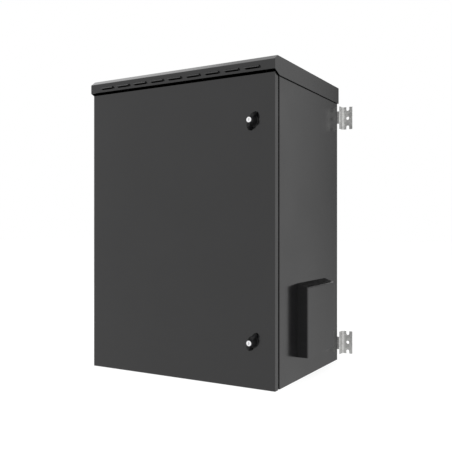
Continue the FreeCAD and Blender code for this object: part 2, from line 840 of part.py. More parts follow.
def fan_shaft():
    return rod(shaft_radius, "x", fan_y, fan_z, fan_back + impeller_start_gap + 2, filter_back)


def finger_guard():
    """Stamped guard with ring-shaped slots between four spokes."""
    guard = plate(square_at_fan(fan_size), fan_corner, "x", guard_back, fan_back)
    spokes = []
    for turn in (0, 90):
        spoke = box(guard_back, fan_back, fan_y - fan_size, fan_y + fan_size,
                    fan_z - guard_spoke / 2, fan_z + guard_spoke / 2)
        spoke.rotate(Vector(0, fan_y, fan_z), Vector(1, 0, 0), turn)
        spokes.append(spoke)
    for inner, outer in guard_rings:
        ring = rod(outer, "x", fan_y, fan_z, guard_back, fan_back).cut(
            [rod(inner, "x", fan_y, fan_z, guard_back, fan_back)] + spokes)
        guard = guard.cut(ring)
    return guard.cut([rod(fan_hole_radius, "x", y, z, guard_back, fan_back) for y, z in fan_screw_places()])


def fan_screws():
    tip = half + nut_height + 1
    return [bolt("x", y, z, guard_back, tip, fan_screw_radius, fan_screw_flats, fan_screw_head)
            for y, z in fan_screw_places()]


def fan_nuts():
    return [nut("x", y, z, half, half + nut_height - 1, fan_screw_radius, fan_screw_flats)
            for y, z in fan_screw_places()]


# Cable entry and earth stud

def entry_rectangle(length, width):
    return rectangle(-length / 2, length / 2, entry_y - width / 2, entry_y + width / 2)


def gland_gasket():
    top = body_sheet + gland_gasket_sheet
    outer = entry_rectangle(entry_length + 2 * gland_margin, entry_width + 2 * gland_margin)
    ring = plate(outer, 3, "z", body_sheet, top)
    ring = ring.cut(plate(entry_rectangle(entry_length, entry_width), gasket_corner / 2, "z", body_sheet, top))
    return ring.cut([rod(gland_screw_radius, "z", x, y, body_sheet, top) for x, y in gland_screw_places()])


def gland_plate():
    low = body_sheet + gland_gasket_sheet
    outer = entry_rectangle(entry_length + 2 * gland_margin, entry_width + 2 * gland_margin)
    sheet = plate(outer, 3, "z", low, gland_top)
    slot = plate(entry_rectangle(cable_slot_length, cable_slot_width), gasket_corner / 2, "z", low, gland_top)
    return sheet.cut([slot] + [rod(gland_screw_radius, "z", x, y, low, gland_top) for x, y in gland_screw_places()])


def cable_trim():
    """Rubber edging round the cable slot, gripping the gland plate from both sides."""
    low = body_sheet + gland_gasket_sheet
    corner = gasket_corner / 2
    block = plate(entry_rectangle(cable_slot_length + 2 * trim_lip, cable_slot_width + 2 * trim_lip),
                  corner + trim_lip, "z", low - trim_sheet, gland_top + trim_sheet)
    bore = plate(entry_rectangle(cable_slot_length - 2 * trim_wall, cable_slot_width - 2 * trim_wall),
                 corner - trim_wall, "z", low - trim_sheet, gland_top + trim_sheet)
    grip = plate(entry_rectangle(cable_slot_length + 4 * trim_lip, cable_slot_width + 4 * trim_lip),
                 corner, "z", low, gland_top)
    grip = grip.cut(plate(entry_rectangle(cable_slot_length, cable_slot_width), corner, "z", low, gland_top))
    return block.cut([bore, grip])


def gland_screws():
    return [bolt("z", x, y, gland_top, 0.2, gland_screw_radius, gland_screw_flats, gland_screw_head)
            for x, y in gland_screw_places()]


def earth_stud():
    return rod(earth_radius, "x", earth_y, earth_z, -inner_half, -inner_half + earth_length)


def earth_nut():
    seat = -inner_half
    washer = rod(earth_washer_radius, "x", earth_y, earth_z, seat, seat + earth_washer_height)
    washer = washer.cut(rod(earth_radius, "x", earth_y, earth_z, seat, seat + earth_washer_height))
    seat += earth_washer_height
    return washer, nut("x", earth_y, earth_z, seat, seat + earth_nut_height, earth_radius, earth_flats)


# Door

def door_panel():
    """Pan-shaped door with a hem folded in at the rear, left open for the hinges."""
    pan = box(-half, half, 0, door_thickness, 0, door_height)
    pan = pan.makeFillet(door_edge_radius, [edge for edge in pan.Edges if edge.BoundBox.YMax < 0.01])
    inside = box(-half + door_sheet, half - door_sheet, door_sheet, door_thickness - door_sheet,
                 door_sheet, door_height - door_sheet)
    window = box(-half + door_hem, half - door_hem, door_thickness - door_sheet - 1, door_thickness + 1,
                 door_hem, door_height - door_hem)
    cuts = [inside, window]
    for z in hinge_heights:
        cuts.append(box(-half + door_sheet, -half + door_hem + 1, door_thickness - door_sheet - 1,
                        door_thickness + 1, z - hinge_leaf_height - 3, z + hinge_leaf_height + 3))
    hole = lock_neck_radius + lock_hole_clearance
    cuts += [rod(hole, "y", lock_x, z, -1, door_sheet + 1) for z in lock_heights.values()]
    return pan.cut(cuts)


def door_gasket():
    """Foam gasket glued inside the door, opposite the frame's sealing face."""
    outer = rim - (frame_flange - gasket_width) / 2
    inner = outer - gasket_width
    low = rim_bottom + (frame_flange - gasket_width) / 2
    high = rim_top - (frame_flange - gasket_width) / 2
    back = seal_depth - seal_clearance
    ring = plate(rectangle(-outer, outer, low, high), gasket_corner, "y", door_sheet, back)
    hollow = plate(rectangle(-inner, inner, low + gasket_width, high - gasket_width), 2, "y", door_sheet, back)
    return ring.cut(hollow)


def door_stiffener(x):
    """Hat-shaped stiffener with a row of square holes, welded inside the door."""
    crown, foot = stiffener_crown / 2, stiffener_crown / 2 + stiffener_foot
    top = door_sheet + stiffener_height
    path = [(x - foot, door_sheet), (x - crown, door_sheet), (x - crown, top), (x + crown, top),
            (x + crown, door_sheet), (x + foot, door_sheet)]
    low, high = stiffener_end_gap, door_height - stiffener_end_gap
    rail = folded(path, stiffener_sheet, "z", low, high)
    count = int((high - low) // stiffener_pitch)
    reach = stiffener_hole / 2
    holes = []
    for i in range(count):
        z = (low + high) / 2 + (i - (count - 1) / 2) * stiffener_pitch
        holes.append(box(x - reach, x + reach, top - 1, top + stiffener_sheet + 1, z - reach, z + reach))
    return rail.cut(holes)


# Hinges

def hinge_body_leaf(z):
    """Goose-neck leaf, welded to the frame's rim and reaching forward to the pin."""
    foot_end = body_front - hinge_leaf_end_gap
    arm_front = hinge_y - hinge_leaf_sheet
    path = [(hinge_x, arm_front), (-rim, arm_front), (-rim, foot_end)]
    arm = folded(path, hinge_leaf_sheet, "z", z - hinge_knuckle_height, z)
    leg_front = seal_depth + bend_radius
    leg = box(-rim - hinge_leaf_sheet, -rim, leg_front, foot_end, z - hinge_leaf_height, z)
    knuckle = rod(hinge_knuckle_radius, "z", hinge_x, hinge_y, z - hinge_knuckle_height, z)
    leaf = fused([arm, leg, knuckle])
    return leaf.cut(rod(hinge_pin_radius, "z", hinge_x, hinge_y, z - hinge_knuckle_height, z))


def hinge_door_leaf(z):
    """Leaf screwed to the door's inside, with the knuckle that turns on the pin."""
    start = z + hinge_play
    pad_front, pad_back = door_sheet, door_sheet + hinge_pad_sheet
    left = hinge_x - (hinge_inset_x - door_sheet) + 0.5
    pad = box(left, left + hinge_pad_width, pad_front, pad_back, start, z + hinge_leaf_height)
    bridge = box(hinge_x - hinge_knuckle_radius, hinge_x + hinge_knuckle_radius, pad_back, hinge_y,
                 start, z + hinge_knuckle_height)
    knuckle = rod(hinge_knuckle_radius, "z", hinge_x, hinge_y, start, z + hinge_knuckle_height)
    leaf = fused([pad, bridge, knuckle])
    bore = hinge_pin_radius + running_clearance
    cuts = [rod(bore, "z", hinge_x, hinge_y, start, z + hinge_knuckle_height)]
    cuts += [rod(cam_bolt_radius, "y", x, height, pad_front, pad_back) for x, height in hinge_screw_places(z)]
    return leaf.cut(cuts)


def hinge_screw_places(z):
    x = hinge_x + hinge_pad_width / 4
    return [(x, z + hinge_leaf_height - 6), (x, z + hinge_knuckle_height + 6)]


def hinge_pin(z):
    return rod(hinge_pin_radius, "z", hinge_x, hinge_y, z - hinge_knuckle_height, z + hinge_knuckle_height - 1)


def hinge_screws():
    """Studs on the door's inside with their nuts, which hold the door leaves."""
    screws = []
    for z in hinge_heights:
        for x, height in hinge_screw_places(z):
            seat = door_sheet + hinge_pad_sheet
            screws.append(bolt("y", x, height, seat, door_sheet, cam_bolt_radius, cam_bolt_flats, cam_bolt_head))
    return screws


# Locks

def lock_housing(z):
    """Rosette and threaded neck that hold the lock in the door."""
    rosette = rod(rosette_radius, "y", lock_x, z, -rosette_height, 0)
    rosette = rosette.makeFillet(1.2, [edge for edge in rosette.Edges if edge.BoundBox.YMax < -rosette_height + 0.01])
    neck = rod(lock_neck_radius, "y", lock_x, z, 0, lock_neck_length)
    bore = rod(spindle_radius + running_clearance, "y", lock_x, z, -rosette_height, lock_neck_length)
    return fused([rosette, neck]).cut(bore)


def lock_nut(z):
    return nut("y", lock_x, z, door_sheet, door_sheet + lock_nut_height, lock_neck_radius, lock_nut_flats)


def lock_knob(z):
    """Wing knob with its nose for the key plug and its spindle through the door."""
    base = -rosette_height - knob_gap
    nose = Part.makeCone(knob_base_radius, knob_nose_radius, base + knob_front,
                         Vector(lock_x, base, z), Vector(0, -1, 0))
    low = outline(rectangle(lock_x - wing_width / 2, lock_x + wing_width / 2, z - wing_half_length,
                            z + wing_half_length), wing_corner, "y", base)
    top = outline(rectangle(lock_x - wing_top_width / 2, lock_x + wing_top_width / 2, z - wing_top_half_length,
                            z + wing_top_half_length), wing_corner, "y", -wing_top)
    wing = Part.makeLoft([low, top], True, True)
    wing.rotate(Vector(lock_x, 0, z), Vector(0, 1, 0), wing_tilt)
    cam_front = seal_back + cam_gap
    spindle = rod(spindle_radius, "y", lock_x, z, base, cam_front)
    reach = spindle_square / 2
    square = box(lock_x - reach, lock_x + reach, cam_front, cam_front + cam_thickness, z - reach, z + reach)
    knob = fused([nose, wing, spindle, square])
    plug_bore = rod(plug_radius + running_clearance, "y", lock_x, z,
                    -plug_front, -plug_front + plug_length + plug_floor_gap)
    screw_bore = rod(cam_bolt_radius, "y", lock_x, z, cam_front + cam_thickness - cam_bolt_grip,
                     cam_front + cam_thickness)
    return knob.cut([plug_bore, screw_bore])


def key_plug(z):
    """Chromed cylinder with the key slot, turning in the knob's nose."""
    plug = rod(plug_radius, "y", lock_x, z, -plug_front, -plug_front + plug_length)
    plug = plug.makeFillet(0.8, [edge for edge in plug.Edges if edge.BoundBox.YMax < -plug_front + 0.01])
    slot = box(lock_x - key_slot_width / 2, lock_x + key_slot_width / 2, -plug_front - 1,
               -plug_front + key_slot_depth, z - key_slot_height / 2, z + key_slot_height / 2)
    return plug.cut(slot)


def lock_cam(z):
    """Flat cam that swings behind the frame's sealing face."""
    front = seal_back + cam_gap
    reach = spindle_square / 2
    corners = rectangle(lock_x - cam_width / 2, lock_x + cam_width / 2, z - cam_tail, z + cam_reach)
    cam = plate(corners, [cam_width / 2 - 1, cam_width / 2 - 1, 4, 4], "y", front, front + cam_thickness)
    return cam.cut(box(lock_x - reach, lock_x + reach, front, front + cam_thickness, z - reach, z + reach))


def cam_bolt(z):
    seat = seal_back + cam_gap + cam_thickness
    return bolt("y", lock_x, z, seat, seat - cam_bolt_grip, cam_bolt_radius, cam_bolt_flats, cam_bolt_head)


def main():
    os.makedirs("parts", exist_ok=True)
    save("body_wrap", body_wrap())
    save("bottom_plate", bottom_plate())
    save("top_plate", top_plate())
    save("front_frame", *front_frame())
    save("sealing_face", sealing_face())
    save("canopy_roof", canopy_roof())
    save("roof_studs", *roof_studs())
    save("roof_spacers", *roof_spacers())
    save("roof_nuts", *roof_nuts())

    for level, height in bracket_heights.items():
        bracket = wall_bracket(height)
        save("wall_bracket_right_" + level, bracket)
        save("wall_bracket_left_" + level, other_side(bracket))
    save("bracket_bolts", *bracket_bolts())
    save("bracket_nuts", *bracket_nuts())

    for level in depth_rail_heights:
        rail = depth_rail(level)
        save("depth_rail_right_" + level, rail)
        save("depth_rail_left_" + level, other_side(rail))
    rail = rack_rail()
    save("rack_rail_right", rail)
    save("rack_rail_left", other_side(rail))
    bolts, nuts = rail_bolts()
    save("rail_bolts_right", *bolts)
    save("rail_bolts_left", *[other_side(piece) for piece in bolts])
    save("rail_nuts_right", *nuts)
    save("rail_nuts_left", *[other_side(piece) for piece in nuts])

    save("vent_hood", vent_hood())
    save("hood_rivets", *hood_rivets())
    save("filter_frame", filter_frame())
    save("filter_mat", filter_mat())
    save("fan_frame", fan_frame())
    save("fan_impeller", fan_impeller())
    save("fan_shaft", fan_shaft())
    save("finger_guard", finger_guard())
    save("fan_screws", *fan_screws())
    save("fan_nuts", *fan_nuts())

    save("gland_gasket", gland_gasket())
    save("gland_plate", gland_plate())
    save("cable_trim", cable_trim())
    save("gland_screws", *gland_screws())
    save("earth_stud", earth_stud())
    save("earth_nut", *earth_nut())

    save("door_panel", door_panel())
    save("door_gasket", door_gasket())
    save("door_stiffener_left", door_stiffener(stiffener_inset - half))
    save("door_stiffener_right", door_stiffener(half - stiffener_inset))
    save("hinge_body_leaves", *[hinge_body_leaf(z) for z in hinge_heights])
    save("hinge_pins", *[hinge_pin(z) for z in hinge_heights])
    save("hinge_door_leaves", *[hinge_door_leaf(z) for z in hinge_heights])
    save("hinge_screws", *hinge_screws())

    save("lock_housings", *[lock_housing(z) for z in lock_heights.values()])
    save("lock_nuts", *[lock_nut(z) for z in lock_heights.values()])
    for level, z in lock_heights.items():
        save(level + "_lock_knob", lock_knob(z))
        save(level + "_key_plug", key_plug(z))
        save(level + "_lock_cam", lock_cam(z))
        save(level + "_cam_bolt", cam_bolt(z))


main()
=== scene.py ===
import math

import bmesh
import bpy
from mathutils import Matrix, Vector


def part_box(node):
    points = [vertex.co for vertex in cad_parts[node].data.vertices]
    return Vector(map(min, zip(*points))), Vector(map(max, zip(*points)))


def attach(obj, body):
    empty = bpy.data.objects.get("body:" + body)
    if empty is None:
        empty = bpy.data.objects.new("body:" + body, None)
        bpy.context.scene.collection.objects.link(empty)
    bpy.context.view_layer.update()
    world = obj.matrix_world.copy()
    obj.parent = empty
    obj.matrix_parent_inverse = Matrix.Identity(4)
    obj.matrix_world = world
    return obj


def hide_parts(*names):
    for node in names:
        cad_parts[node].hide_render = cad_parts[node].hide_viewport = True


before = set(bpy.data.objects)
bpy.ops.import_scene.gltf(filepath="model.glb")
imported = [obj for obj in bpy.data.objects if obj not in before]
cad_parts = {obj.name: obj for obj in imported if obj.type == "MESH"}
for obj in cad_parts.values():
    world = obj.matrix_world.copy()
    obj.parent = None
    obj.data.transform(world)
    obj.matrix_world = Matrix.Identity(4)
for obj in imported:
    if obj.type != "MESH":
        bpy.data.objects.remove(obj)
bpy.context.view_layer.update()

bl_info = {
    "name": "Wall Cabinet",
    "version": (1, 0, 0),
    "blender": (4, 5, 0),
    "location": "View3D > Sidebar > Cabinet",
    "description": "Finishes, small shapes and studio for a wall mount network cabinet",
    "category": "Object",
}

MM = 0.001

# Pieces by their finish
SHEET_METAL = ("body_wrap", "bottom_plate", "top_plate", "front_frame", "sealing_face", "canopy_roof",
               "vent_hood", "gland_plate", "door_panel", "hood_rivets", "roof_spacers")
GALVANISED = ("wall_bracket_right_lower", "wall_bracket_left_lower", "wall_bracket_right_upper",
              "wall_bracket_left_upper", "depth_rail_right_lower", "depth_rail_left_lower",
              "depth_rail_right_upper", "depth_rail_left_upper", "rack_rail_right", "rack_rail_left",
              "door_stiffener_left", "door_stiffener_right")
BRIGHT_ZINC = ("roof_studs", "roof_nuts", "bracket_nuts", "fan_screws", "fan_nuts",
               "gland_screws", "earth_stud", "earth_nut", "hinge_pins", "hinge_screws", "lock_nuts",
               "upper_cam_bolt", "lower_cam_bolt", "upper_lock_cam", "lower_lock_cam", "hinge_body_leaves",
               "hinge_door_leaves", "rail_bolts_right", "rail_bolts_left", "rail_nuts_right",
               "rail_nuts_left", "fan_shaft", "finger_guard")
FAN_PLASTIC = ("filter_frame", "fan_frame", "fan_impeller")
RUBBER = ("gland_gasket", "cable_trim")

# Values that materials share
DUST_COLOUR = (0.25, 0.24, 0.22)
TONE_DRIFT = 1.35            # brightness of a coat's lighter patches, as a share of its colour
SOFT_EDGE = 0.6 * MM         # radius that sharp edges of coats and galvanised sheet seem to have

# Colours of worn edges
WORN_COAT = (0.09, 0.09, 0.092)
WORN_FAN = (0.05, 0.05, 0.05)
WORN_LOCK = (0.03, 0.03, 0.03)
WORN_GALVANISED = (0.75, 0.75, 0.74)
WORN_ZINC = (0.8, 0.8, 0.78)
WORN_CHROME = (0.62, 0.58, 0.5)

# Fixed sizes of the locks
NOSE_RADIUS = 8.6 * MM
NOSE_BASE_RADIUS = 14.0 * MM
NOSE_DEPTH = 17.7 * MM
NOSE_BEVEL = 0.8 * MM
WING_TILT = 25.0             # degrees
WING_TOP_WIDTH = 0.8         # the wing's top, as shares of its foot
WING_TOP_LENGTH = 0.68
SPINDLE_RADIUS = 6.0 * MM
SPINDLE_SQUARE = 8.0 * MM
CAM_BOLT_RADIUS = 2.5 * MM
CAM_BOLT_GRIP = 10.0 * MM
PLUG_CLEARANCE = 0.06 * MM
PLUG_FLOOR_GAP = 0.3 * MM
PLUG_RIM = 0.9 * MM
PLUG_RECESS = 0.5 * MM
PLUG_BEVEL = 0.35 * MM
KEYWAY_WIDTH = 2.6 * MM
KEYWAY_HEIGHT = 8.0 * MM
KEYWAY_DEPTH = 6.0 * MM
KEYWAY_BEVEL = 0.5 * MM
WARD_SIDES = (0.2 * MM, 1.9 * MM)     # the keyway's side step, measured from the plug's axis
WARD_ENDS = (-1.6 * MM, 1.2 * MM)

# Fixed sizes of the wall brackets' bolts
BOLT_HEAD_RADIUS = 5.75 * MM
BOLT_HEAD_HEIGHT = 4.0 * MM
BOLT_DOME_FOOT = 11.0 * MM
BOLT_DOME_TOP = 5.1 * MM
BOLT_FLANGE_RADIUS = 6.6 * MM
BOLT_FLANGE_HEIGHT = 1.2 * MM
BOLT_FLANGE_BEVEL = 0.4 * MM
BOLT_HEXAGON_START = 1.0 * MM         # above the seat, so inside the flange
BOLT_SHANK_RADIUS = 3.0 * MM
BOLT_SHANK_END = 0.5 * MM             # above the seat, inside the flange too
BOLT_BEVEL = 0.2 * MM
BOLT_STEP = 25.0 * MM                 # between the two bolts of one bracket
PLAIN_HEAD_HALF_WIDTH = 5.77 * MM     # of the plain heads, which the axes are found from
PLAIN_HEAD_HALF_HEIGHT = 5.0 * MM

# The studio's floor
FLOOR_SIZE = 30.0
FLOOR_DROP = 0.5 * MM        # from the cabinet's underside
FLOOR_GLOW = 0.9             # brightness of the floor in full shadow, as the camera sees it
FLOOR_LIT = 0.2              # share of the light that adds to it

# The studio's far rear wall, which the cabinet's right side mirrors. Each stop of its fade is a place
# across the wall, as a share of the wall's distance, and the brightness there.
REAR_DISTANCE = 300.0
REAR_WIDTH = 6.0             # as shares of the distance
REAR_HEIGHT = 2.0
REAR_FADE = ((0.03, 0.85), (0.17, 0.04), (0.315, 0.04), (0.465, 0.86), (0.9, 1.0))
REAR_LIFT = 0.24             # how much brighter the wall's dark part is low down
REAR_LIFT_LEVELS = (0.05, -0.2)       # where the lift starts and is full, as shares of the distance
REAR_PALE = 0.9              # brightness from which on a part isn't lifted

# Working values
CLOSE = 0.1 * MM             # a point nearer than this to a level lies on it
OVERLAP = 1.0 * MM           # how far joined solids reach into each other, and cutters stand out


# Sizes and colours that a user may change

class CabinetPaint(bpy.types.PropertyGroup):
    """The powder coat on the sheet metal"""
    colour: bpy.props.FloatVectorProperty(
        name="Colour", description="Colour of the powder coat", subtype="COLOR", size=3,
        default=(0.0044, 0.0044, 0.0048), min=0.0, max=1.0)
    roughness: bpy.props.FloatProperty(
        name="Roughness", description="Roughness of the semi-gloss coat", subtype="FACTOR",
        default=0.17, min=0.0, max=1.0)
    grain: bpy.props.FloatProperty(
        name="Grain", description="Width of one bump of the coat's texture", default=0.9 * MM,
        unit="LENGTH", subtype="DISTANCE")


class CabinetSteel(bpy.types.PropertyGroup):
    """Galvanised brackets and rails, zinc plated fasteners"""
    galvanised: bpy.props.FloatVectorProperty(
        name="Galvanised", description="Colour of the galvanised brackets and rails", subtype="COLOR",
        size=3, default=(0.59, 0.59, 0.58), min=0.0, max=1.0)
    zinc: bpy.props.FloatVectorProperty(
        name="Zinc", description="Colour of the bright zinc fasteners", subtype="COLOR", size=3,
        default=(0.6, 0.6, 0.58), min=0.0, max=1.0)
    spangle: bpy.props.FloatProperty(
        name="Spangle", description="Width of one zinc crystal", default=5.0 * MM,
        unit="LENGTH", subtype="DISTANCE")


class CabinetLock(bpy.types.PropertyGroup):
    """The wing knobs and key plugs"""
    wing_length: bpy.props.FloatProperty(
        name="Wing length", description="Tip to tip", default=52.0 * MM, unit="LENGTH", subtype="DISTANCE")
    wing_width: bpy.props.FloatProperty(
        name="Wing width", description="Width of the wing's rounded ends", default=12.0 * MM,
        unit="LENGTH", subtype="DISTANCE")
    wing_height: bpy.props.FloatProperty(
        name="Wing height", description="From the rosette to the wing's ridge", default=14.5 * MM,
        unit="LENGTH", subtype="DISTANCE")
    edge: bpy.props.FloatProperty(
        name="Edge", description="Radius of the moulded edges", default=1.3 * MM, unit="LENGTH",
        subtype="DISTANCE")
    plastic: bpy.props.FloatVectorProperty(
        name="Plastic", description="Colour of the moulded knob", subtype="COLOR", size=3,
        default=(0.004, 0.004, 0.0045), min=0.0, max=1.0)
    chrome: bpy.props.FloatVectorProperty(
        name="Chrome", description="Colour of the plated key plug", subtype="COLOR", size=3,
        default=(0.86, 0.86, 0.87), min=0.0, max=1.0)


class CabinetSeal(bpy.types.PropertyGroup):
    """The foam gasket inside the door"""
    width: bpy.props.FloatProperty(
        name="Width", description="Width of the gasket's strip", default=10.0 * MM, unit="LENGTH",
        subtype="DISTANCE")
    crown: bpy.props.FloatProperty(
        name="Crown", description="Radius of the gasket's crown", default=3.2 * MM, unit="LENGTH",
        subtype="DISTANCE")
    corner: bpy.props.FloatProperty(
        name="Corner", description="Radius of the gasket's outer corners", default=10.0 * MM, unit="LENGTH",
        subtype="DISTANCE")


class CabinetStage(bpy.types.PropertyGroup):
    """Floor, light and camera"""
    camera_place: bpy.props.FloatVectorProperty(
        name="Camera", description="Where the camera stands", subtype="TRANSLATION", size=3, unit="LENGTH",
        default=(0.988, -1.6578, 0.4149))
    camera_turn: bpy.props.FloatProperty(
        name="Turn", description="Turn of the camera to the left", subtype="ANGLE",
        default=math.radians(30.129))
    lens: bpy.props.FloatProperty(
        name="Lens", description="Focal length", default=50.1, unit="CAMERA")
    rise: bpy.props.FloatProperty(
        name="Rise", description="Vertical shift of the lens", default=0.0024)
    sky: bpy.props.FloatProperty(
        name="Sky", description="Strength of the even light from all round", default=0.62, min=0.0)
    top_power: bpy.props.FloatProperty(
        name="Top light", description="Power of the soft box overhead", default=34.0, unit="POWER")
    key_power: bpy.props.FloatProperty(
        name="Key light", description="Power of the soft box at the front left", default=26.0, unit="POWER")
    rear_power: bpy.props.FloatProperty(
        name="Rear light", description="Power of the soft box at the rear left", default=4.5, unit="POWER")
    floor_colour: bpy.props.FloatVectorProperty(
        name="Floor", description="Colour of the floor", subtype="COLOR", size=3,
        default=(0.82, 0.82, 0.82), min=0.0, max=1.0)


# Materials

def new_group(name, inputs, outputs):
    """An empty shader node group with its sockets; gives the tree and its input and output nodes."""
    tree = bpy.data.node_groups.new(name, "ShaderNodeTree")
    for title, value in inputs:
        socket = tree.interface.new_socket(title, in_out="INPUT", socket_type="NodeSocketFloat")
        socket.default_value = value
    for title, kind in outputs:
        tree.interface.new_socket(title, in_out="OUTPUT", socket_type=kind)
    start, end = tree.nodes.new("NodeGroupInput"), tree.nodes.new("NodeGroupOutput")
    start.location, end.location = (-900, 0), (700, 0)
    return tree, start, end


def add_node(tree, kind, place, **settings):
    node = tree.nodes.new(kind)
    node.location = place
    for key, value in settings.items():
        setattr(node, key, value)
    return node


def math_node(tree, operation, first, second, place, clamp=False):
    """A Math node with each input linked or set."""
    node = add_node(tree, "ShaderNodeMath", place, operation=operation, use_clamp=clamp)
    for socket, value in zip(node.inputs, (first, second)):
        if isinstance(value, bpy.types.NodeSocket):
            tree.links.new(value, socket)
        else:
            socket.default_value = value
    return node.outputs[0]


def noise(tree, vector, scale, detail, place, roughness=0.5):
    node = add_node(tree, "ShaderNodeTexNoise", place)
    node.inputs["Detail"].default_value = detail
    node.inputs["Roughness"].default_value = roughness
    if isinstance(scale, bpy.types.NodeSocket):
        tree.links.new(scale, node.inputs["Scale"])
    else:
        node.inputs["Scale"].default_value = scale
    tree.links.new(vector, node.inputs["Vector"])
    return node.outputs["Fac"]


def stretch(tree, value, low, high, new_low, new_high, place):
    """Maps a value from one range to another, and holds it within the new one."""
    node = add_node(tree, "ShaderNodeMapRange", place)
    tree.links.new(value, node.inputs["Value"])
    for title, number in zip(("From Min", "From Max", "To Min", "To Max"), (low, high, new_low, new_high)):
        node.inputs[title].default_value = number
    return node.outputs["Result"]


def coat_texture_group():
    """Orange peel of a sprayed or moulded surface, with a slow drift in tone."""
    tree, start, end = new_group("Coat texture", [("Size", 0.001)],
                                 [("Height", "NodeSocketFloat"), ("Drift", "NodeSocketFloat")])
    spot = add_node(tree, "ShaderNodeTexCoord", (-900, 300)).outputs["Object"]
    scale = math_node(tree, "DIVIDE", 1.0, start.outputs["Size"], (-680, 120))
    coarse = noise(tree, spot, scale, 2.0, (-450, 250))
    fine_scale = math_node(tree, "MULTIPLY", scale, 2.7, (-450, 0))
    fine = noise(tree, spot, fine_scale, 1.0, (-220, 60))
    half_fine = math_node(tree, "MULTIPLY", fine, 0.35, (0, 60))
    tree.links.new(math_node(tree, "ADD", coarse, half_fine, (220, 160)), end.inputs["Height"])
    tree.links.new(noise(tree, spot, 5.5, 3.0, (-220, -250)), end.inputs["Drift"])
    return tree


def edge_wear_group():
    """Rounded normals at the edges, and a broken mask along them."""
    tree, start, end = new_group("Edge wear", [("Radius", 0.001), ("Amount", 0.5)],
                                 [("Mask", "NodeSocketFloat"), ("Normal", "NodeSocketVector")])
    rounded = add_node(tree, "ShaderNodeBevel", (-650, 200), samples=6)
    tree.links.new(start.outputs["Radius"], rounded.inputs["Radius"])
    flat = add_node(tree, "ShaderNodeNewGeometry", (-650, -50)).outputs["Normal"]
    along = add_node(tree, "ShaderNodeVectorMath", (-430, 50), operation="DOT_PRODUCT")
    tree.links.new(rounded.outputs["Normal"], along.inputs[0])
    tree.links.new(flat, along.inputs[1])
    edge = stretch(tree, along.outputs["Value"], 0.995, 0.9, 0.0, 1.0, (-220, 50))
    spot = add_node(tree, "ShaderNodeTexCoord", (-650, -300)).outputs["Object"]
    rough = noise(tree, spot, 90.0, 4.0, (-430, -300), 0.65)
    broken = stretch(tree, rough, 0.42, 0.66, 0.0, 1.0, (-220, -300))
    worn = math_node(tree, "MULTIPLY", edge, broken, (0, -50))
    mask = math_node(tree, "MULTIPLY", worn, start.outputs["Amount"], (220, -50))
    tree.links.new(mask, end.inputs["Mask"])
    tree.links.new(rounded.outputs["Normal"], end.inputs["Normal"])
    return tree


def dust_group():
    """Dust that settles on faces that look up."""
    tree, start, end = new_group("Settled dust", [("Amount", 0.3)], [("Mask", "NodeSocketFloat")])
    normal = add_node(tree, "ShaderNodeNewGeometry", (-900, 300)).outputs["Normal"]
    parts = add_node(tree, "ShaderNodeSeparateXYZ", (-680, 300))
    tree.links.new(normal, parts.inputs[0])
    up = stretch(tree, parts.outputs["Z"], 0.6, 1.0, 0.0, 1.0, (-450, 300))
    spot = add_node(tree, "ShaderNodeTexCoord", (-900, -50)).outputs["Object"]
    cloud = noise(tree, spot, 7.0, 6.0, (-680, -50), 0.6)
    patches = stretch(tree, cloud, 0.35, 0.75, 0.15, 1.0, (-450, -50))
    grit = noise(tree, spot, 420.0, 2.0, (-680, -300))
    specks = stretch(tree, grit, 0.5, 0.72, 0.0, 1.0, (-450, -300))
    film = math_node(tree, "MULTIPLY", up, patches, (-220, 150))
    speckled = math_node(tree, "MULTIPLY_ADD", specks, 0.5, (-220, -150))
    speckled.node.inputs[2].default_value = 0.5
    dusty = math_node(tree, "MULTIPLY", film, speckled, (0, 50))
    mask = math_node(tree, "MULTIPLY", dusty, start.outputs["Amount"], (220, 50))
    tree.links.new(mask, end.inputs["Mask"])
    return tree


def spangle_group():
    """Crystals of hot dip galvanised steel: each cell has its own tone and gloss."""
    tree, start, end = new_group("Zinc spangle", [("Size", 0.005)],
                                 [("Tone", "NodeSocketFloat"), ("Height", "NodeSocketFloat")])
    spot = add_node(tree, "ShaderNodeTexCoord", (-900, 300)).outputs["Object"]
    scale = math_node(tree, "DIVIDE", 1.0, start.outputs["Size"], (-680, 100))
    cells = add_node(tree, "ShaderNodeTexVoronoi", (-430, 250))
    tree.links.new(spot, cells.inputs["Vector"])
    tree.links.new(scale, cells.inputs["Scale"])
    grey = add_node(tree, "ShaderNodeSeparateColor", (-220, 250))
    tree.links.new(cells.outputs["Color"], grey.inputs[0])
    streak = noise(tree, spot, 160.0, 3.0, (-430, -100))
    tone = math_node(tree, "MULTIPLY_ADD", streak, 0.5, (0, 100))
    tree.links.new(grey.outputs["Red"], tone.node.inputs[2])
    tree.links.new(math_node(tree, "MULTIPLY", tone, 0.66, (220, 100)), end.inputs["Tone"])
    tree.links.new(streak, end.inputs["Height"])
    return tree


def fibre_group():
    """Tangled fibres of a filter fleece, or the cells of a foam or rubber."""
    tree, start, end = new_group("Fibres", [("Size", 0.001)],
                                 [("Height", "NodeSocketFloat"), ("Tone", "NodeSocketFloat")])
    spot = add_node(tree, "ShaderNodeTexCoord", (-900, 300)).outputs["Object"]
    scale = math_node(tree, "DIVIDE", 1.0, start.outputs["Size"], (-680, 100))
    warp = noise(tree, spot, scale, 4.0, (-450, 250), 0.7)
    cells = add_node(tree, "ShaderNodeTexVoronoi", (-220, 100), feature="DISTANCE_TO_EDGE")
    tree.links.new(spot, cells.inputs["Vector"])
    tree.links.new(scale, cells.inputs["Scale"])
    height = math_node(tree, "MULTIPLY", warp, cells.outputs["Distance"], (0, 100))
    tree.links.new(height, end.inputs["Height"])
    tree.links.new(warp, end.inputs["Tone"])
    return tree


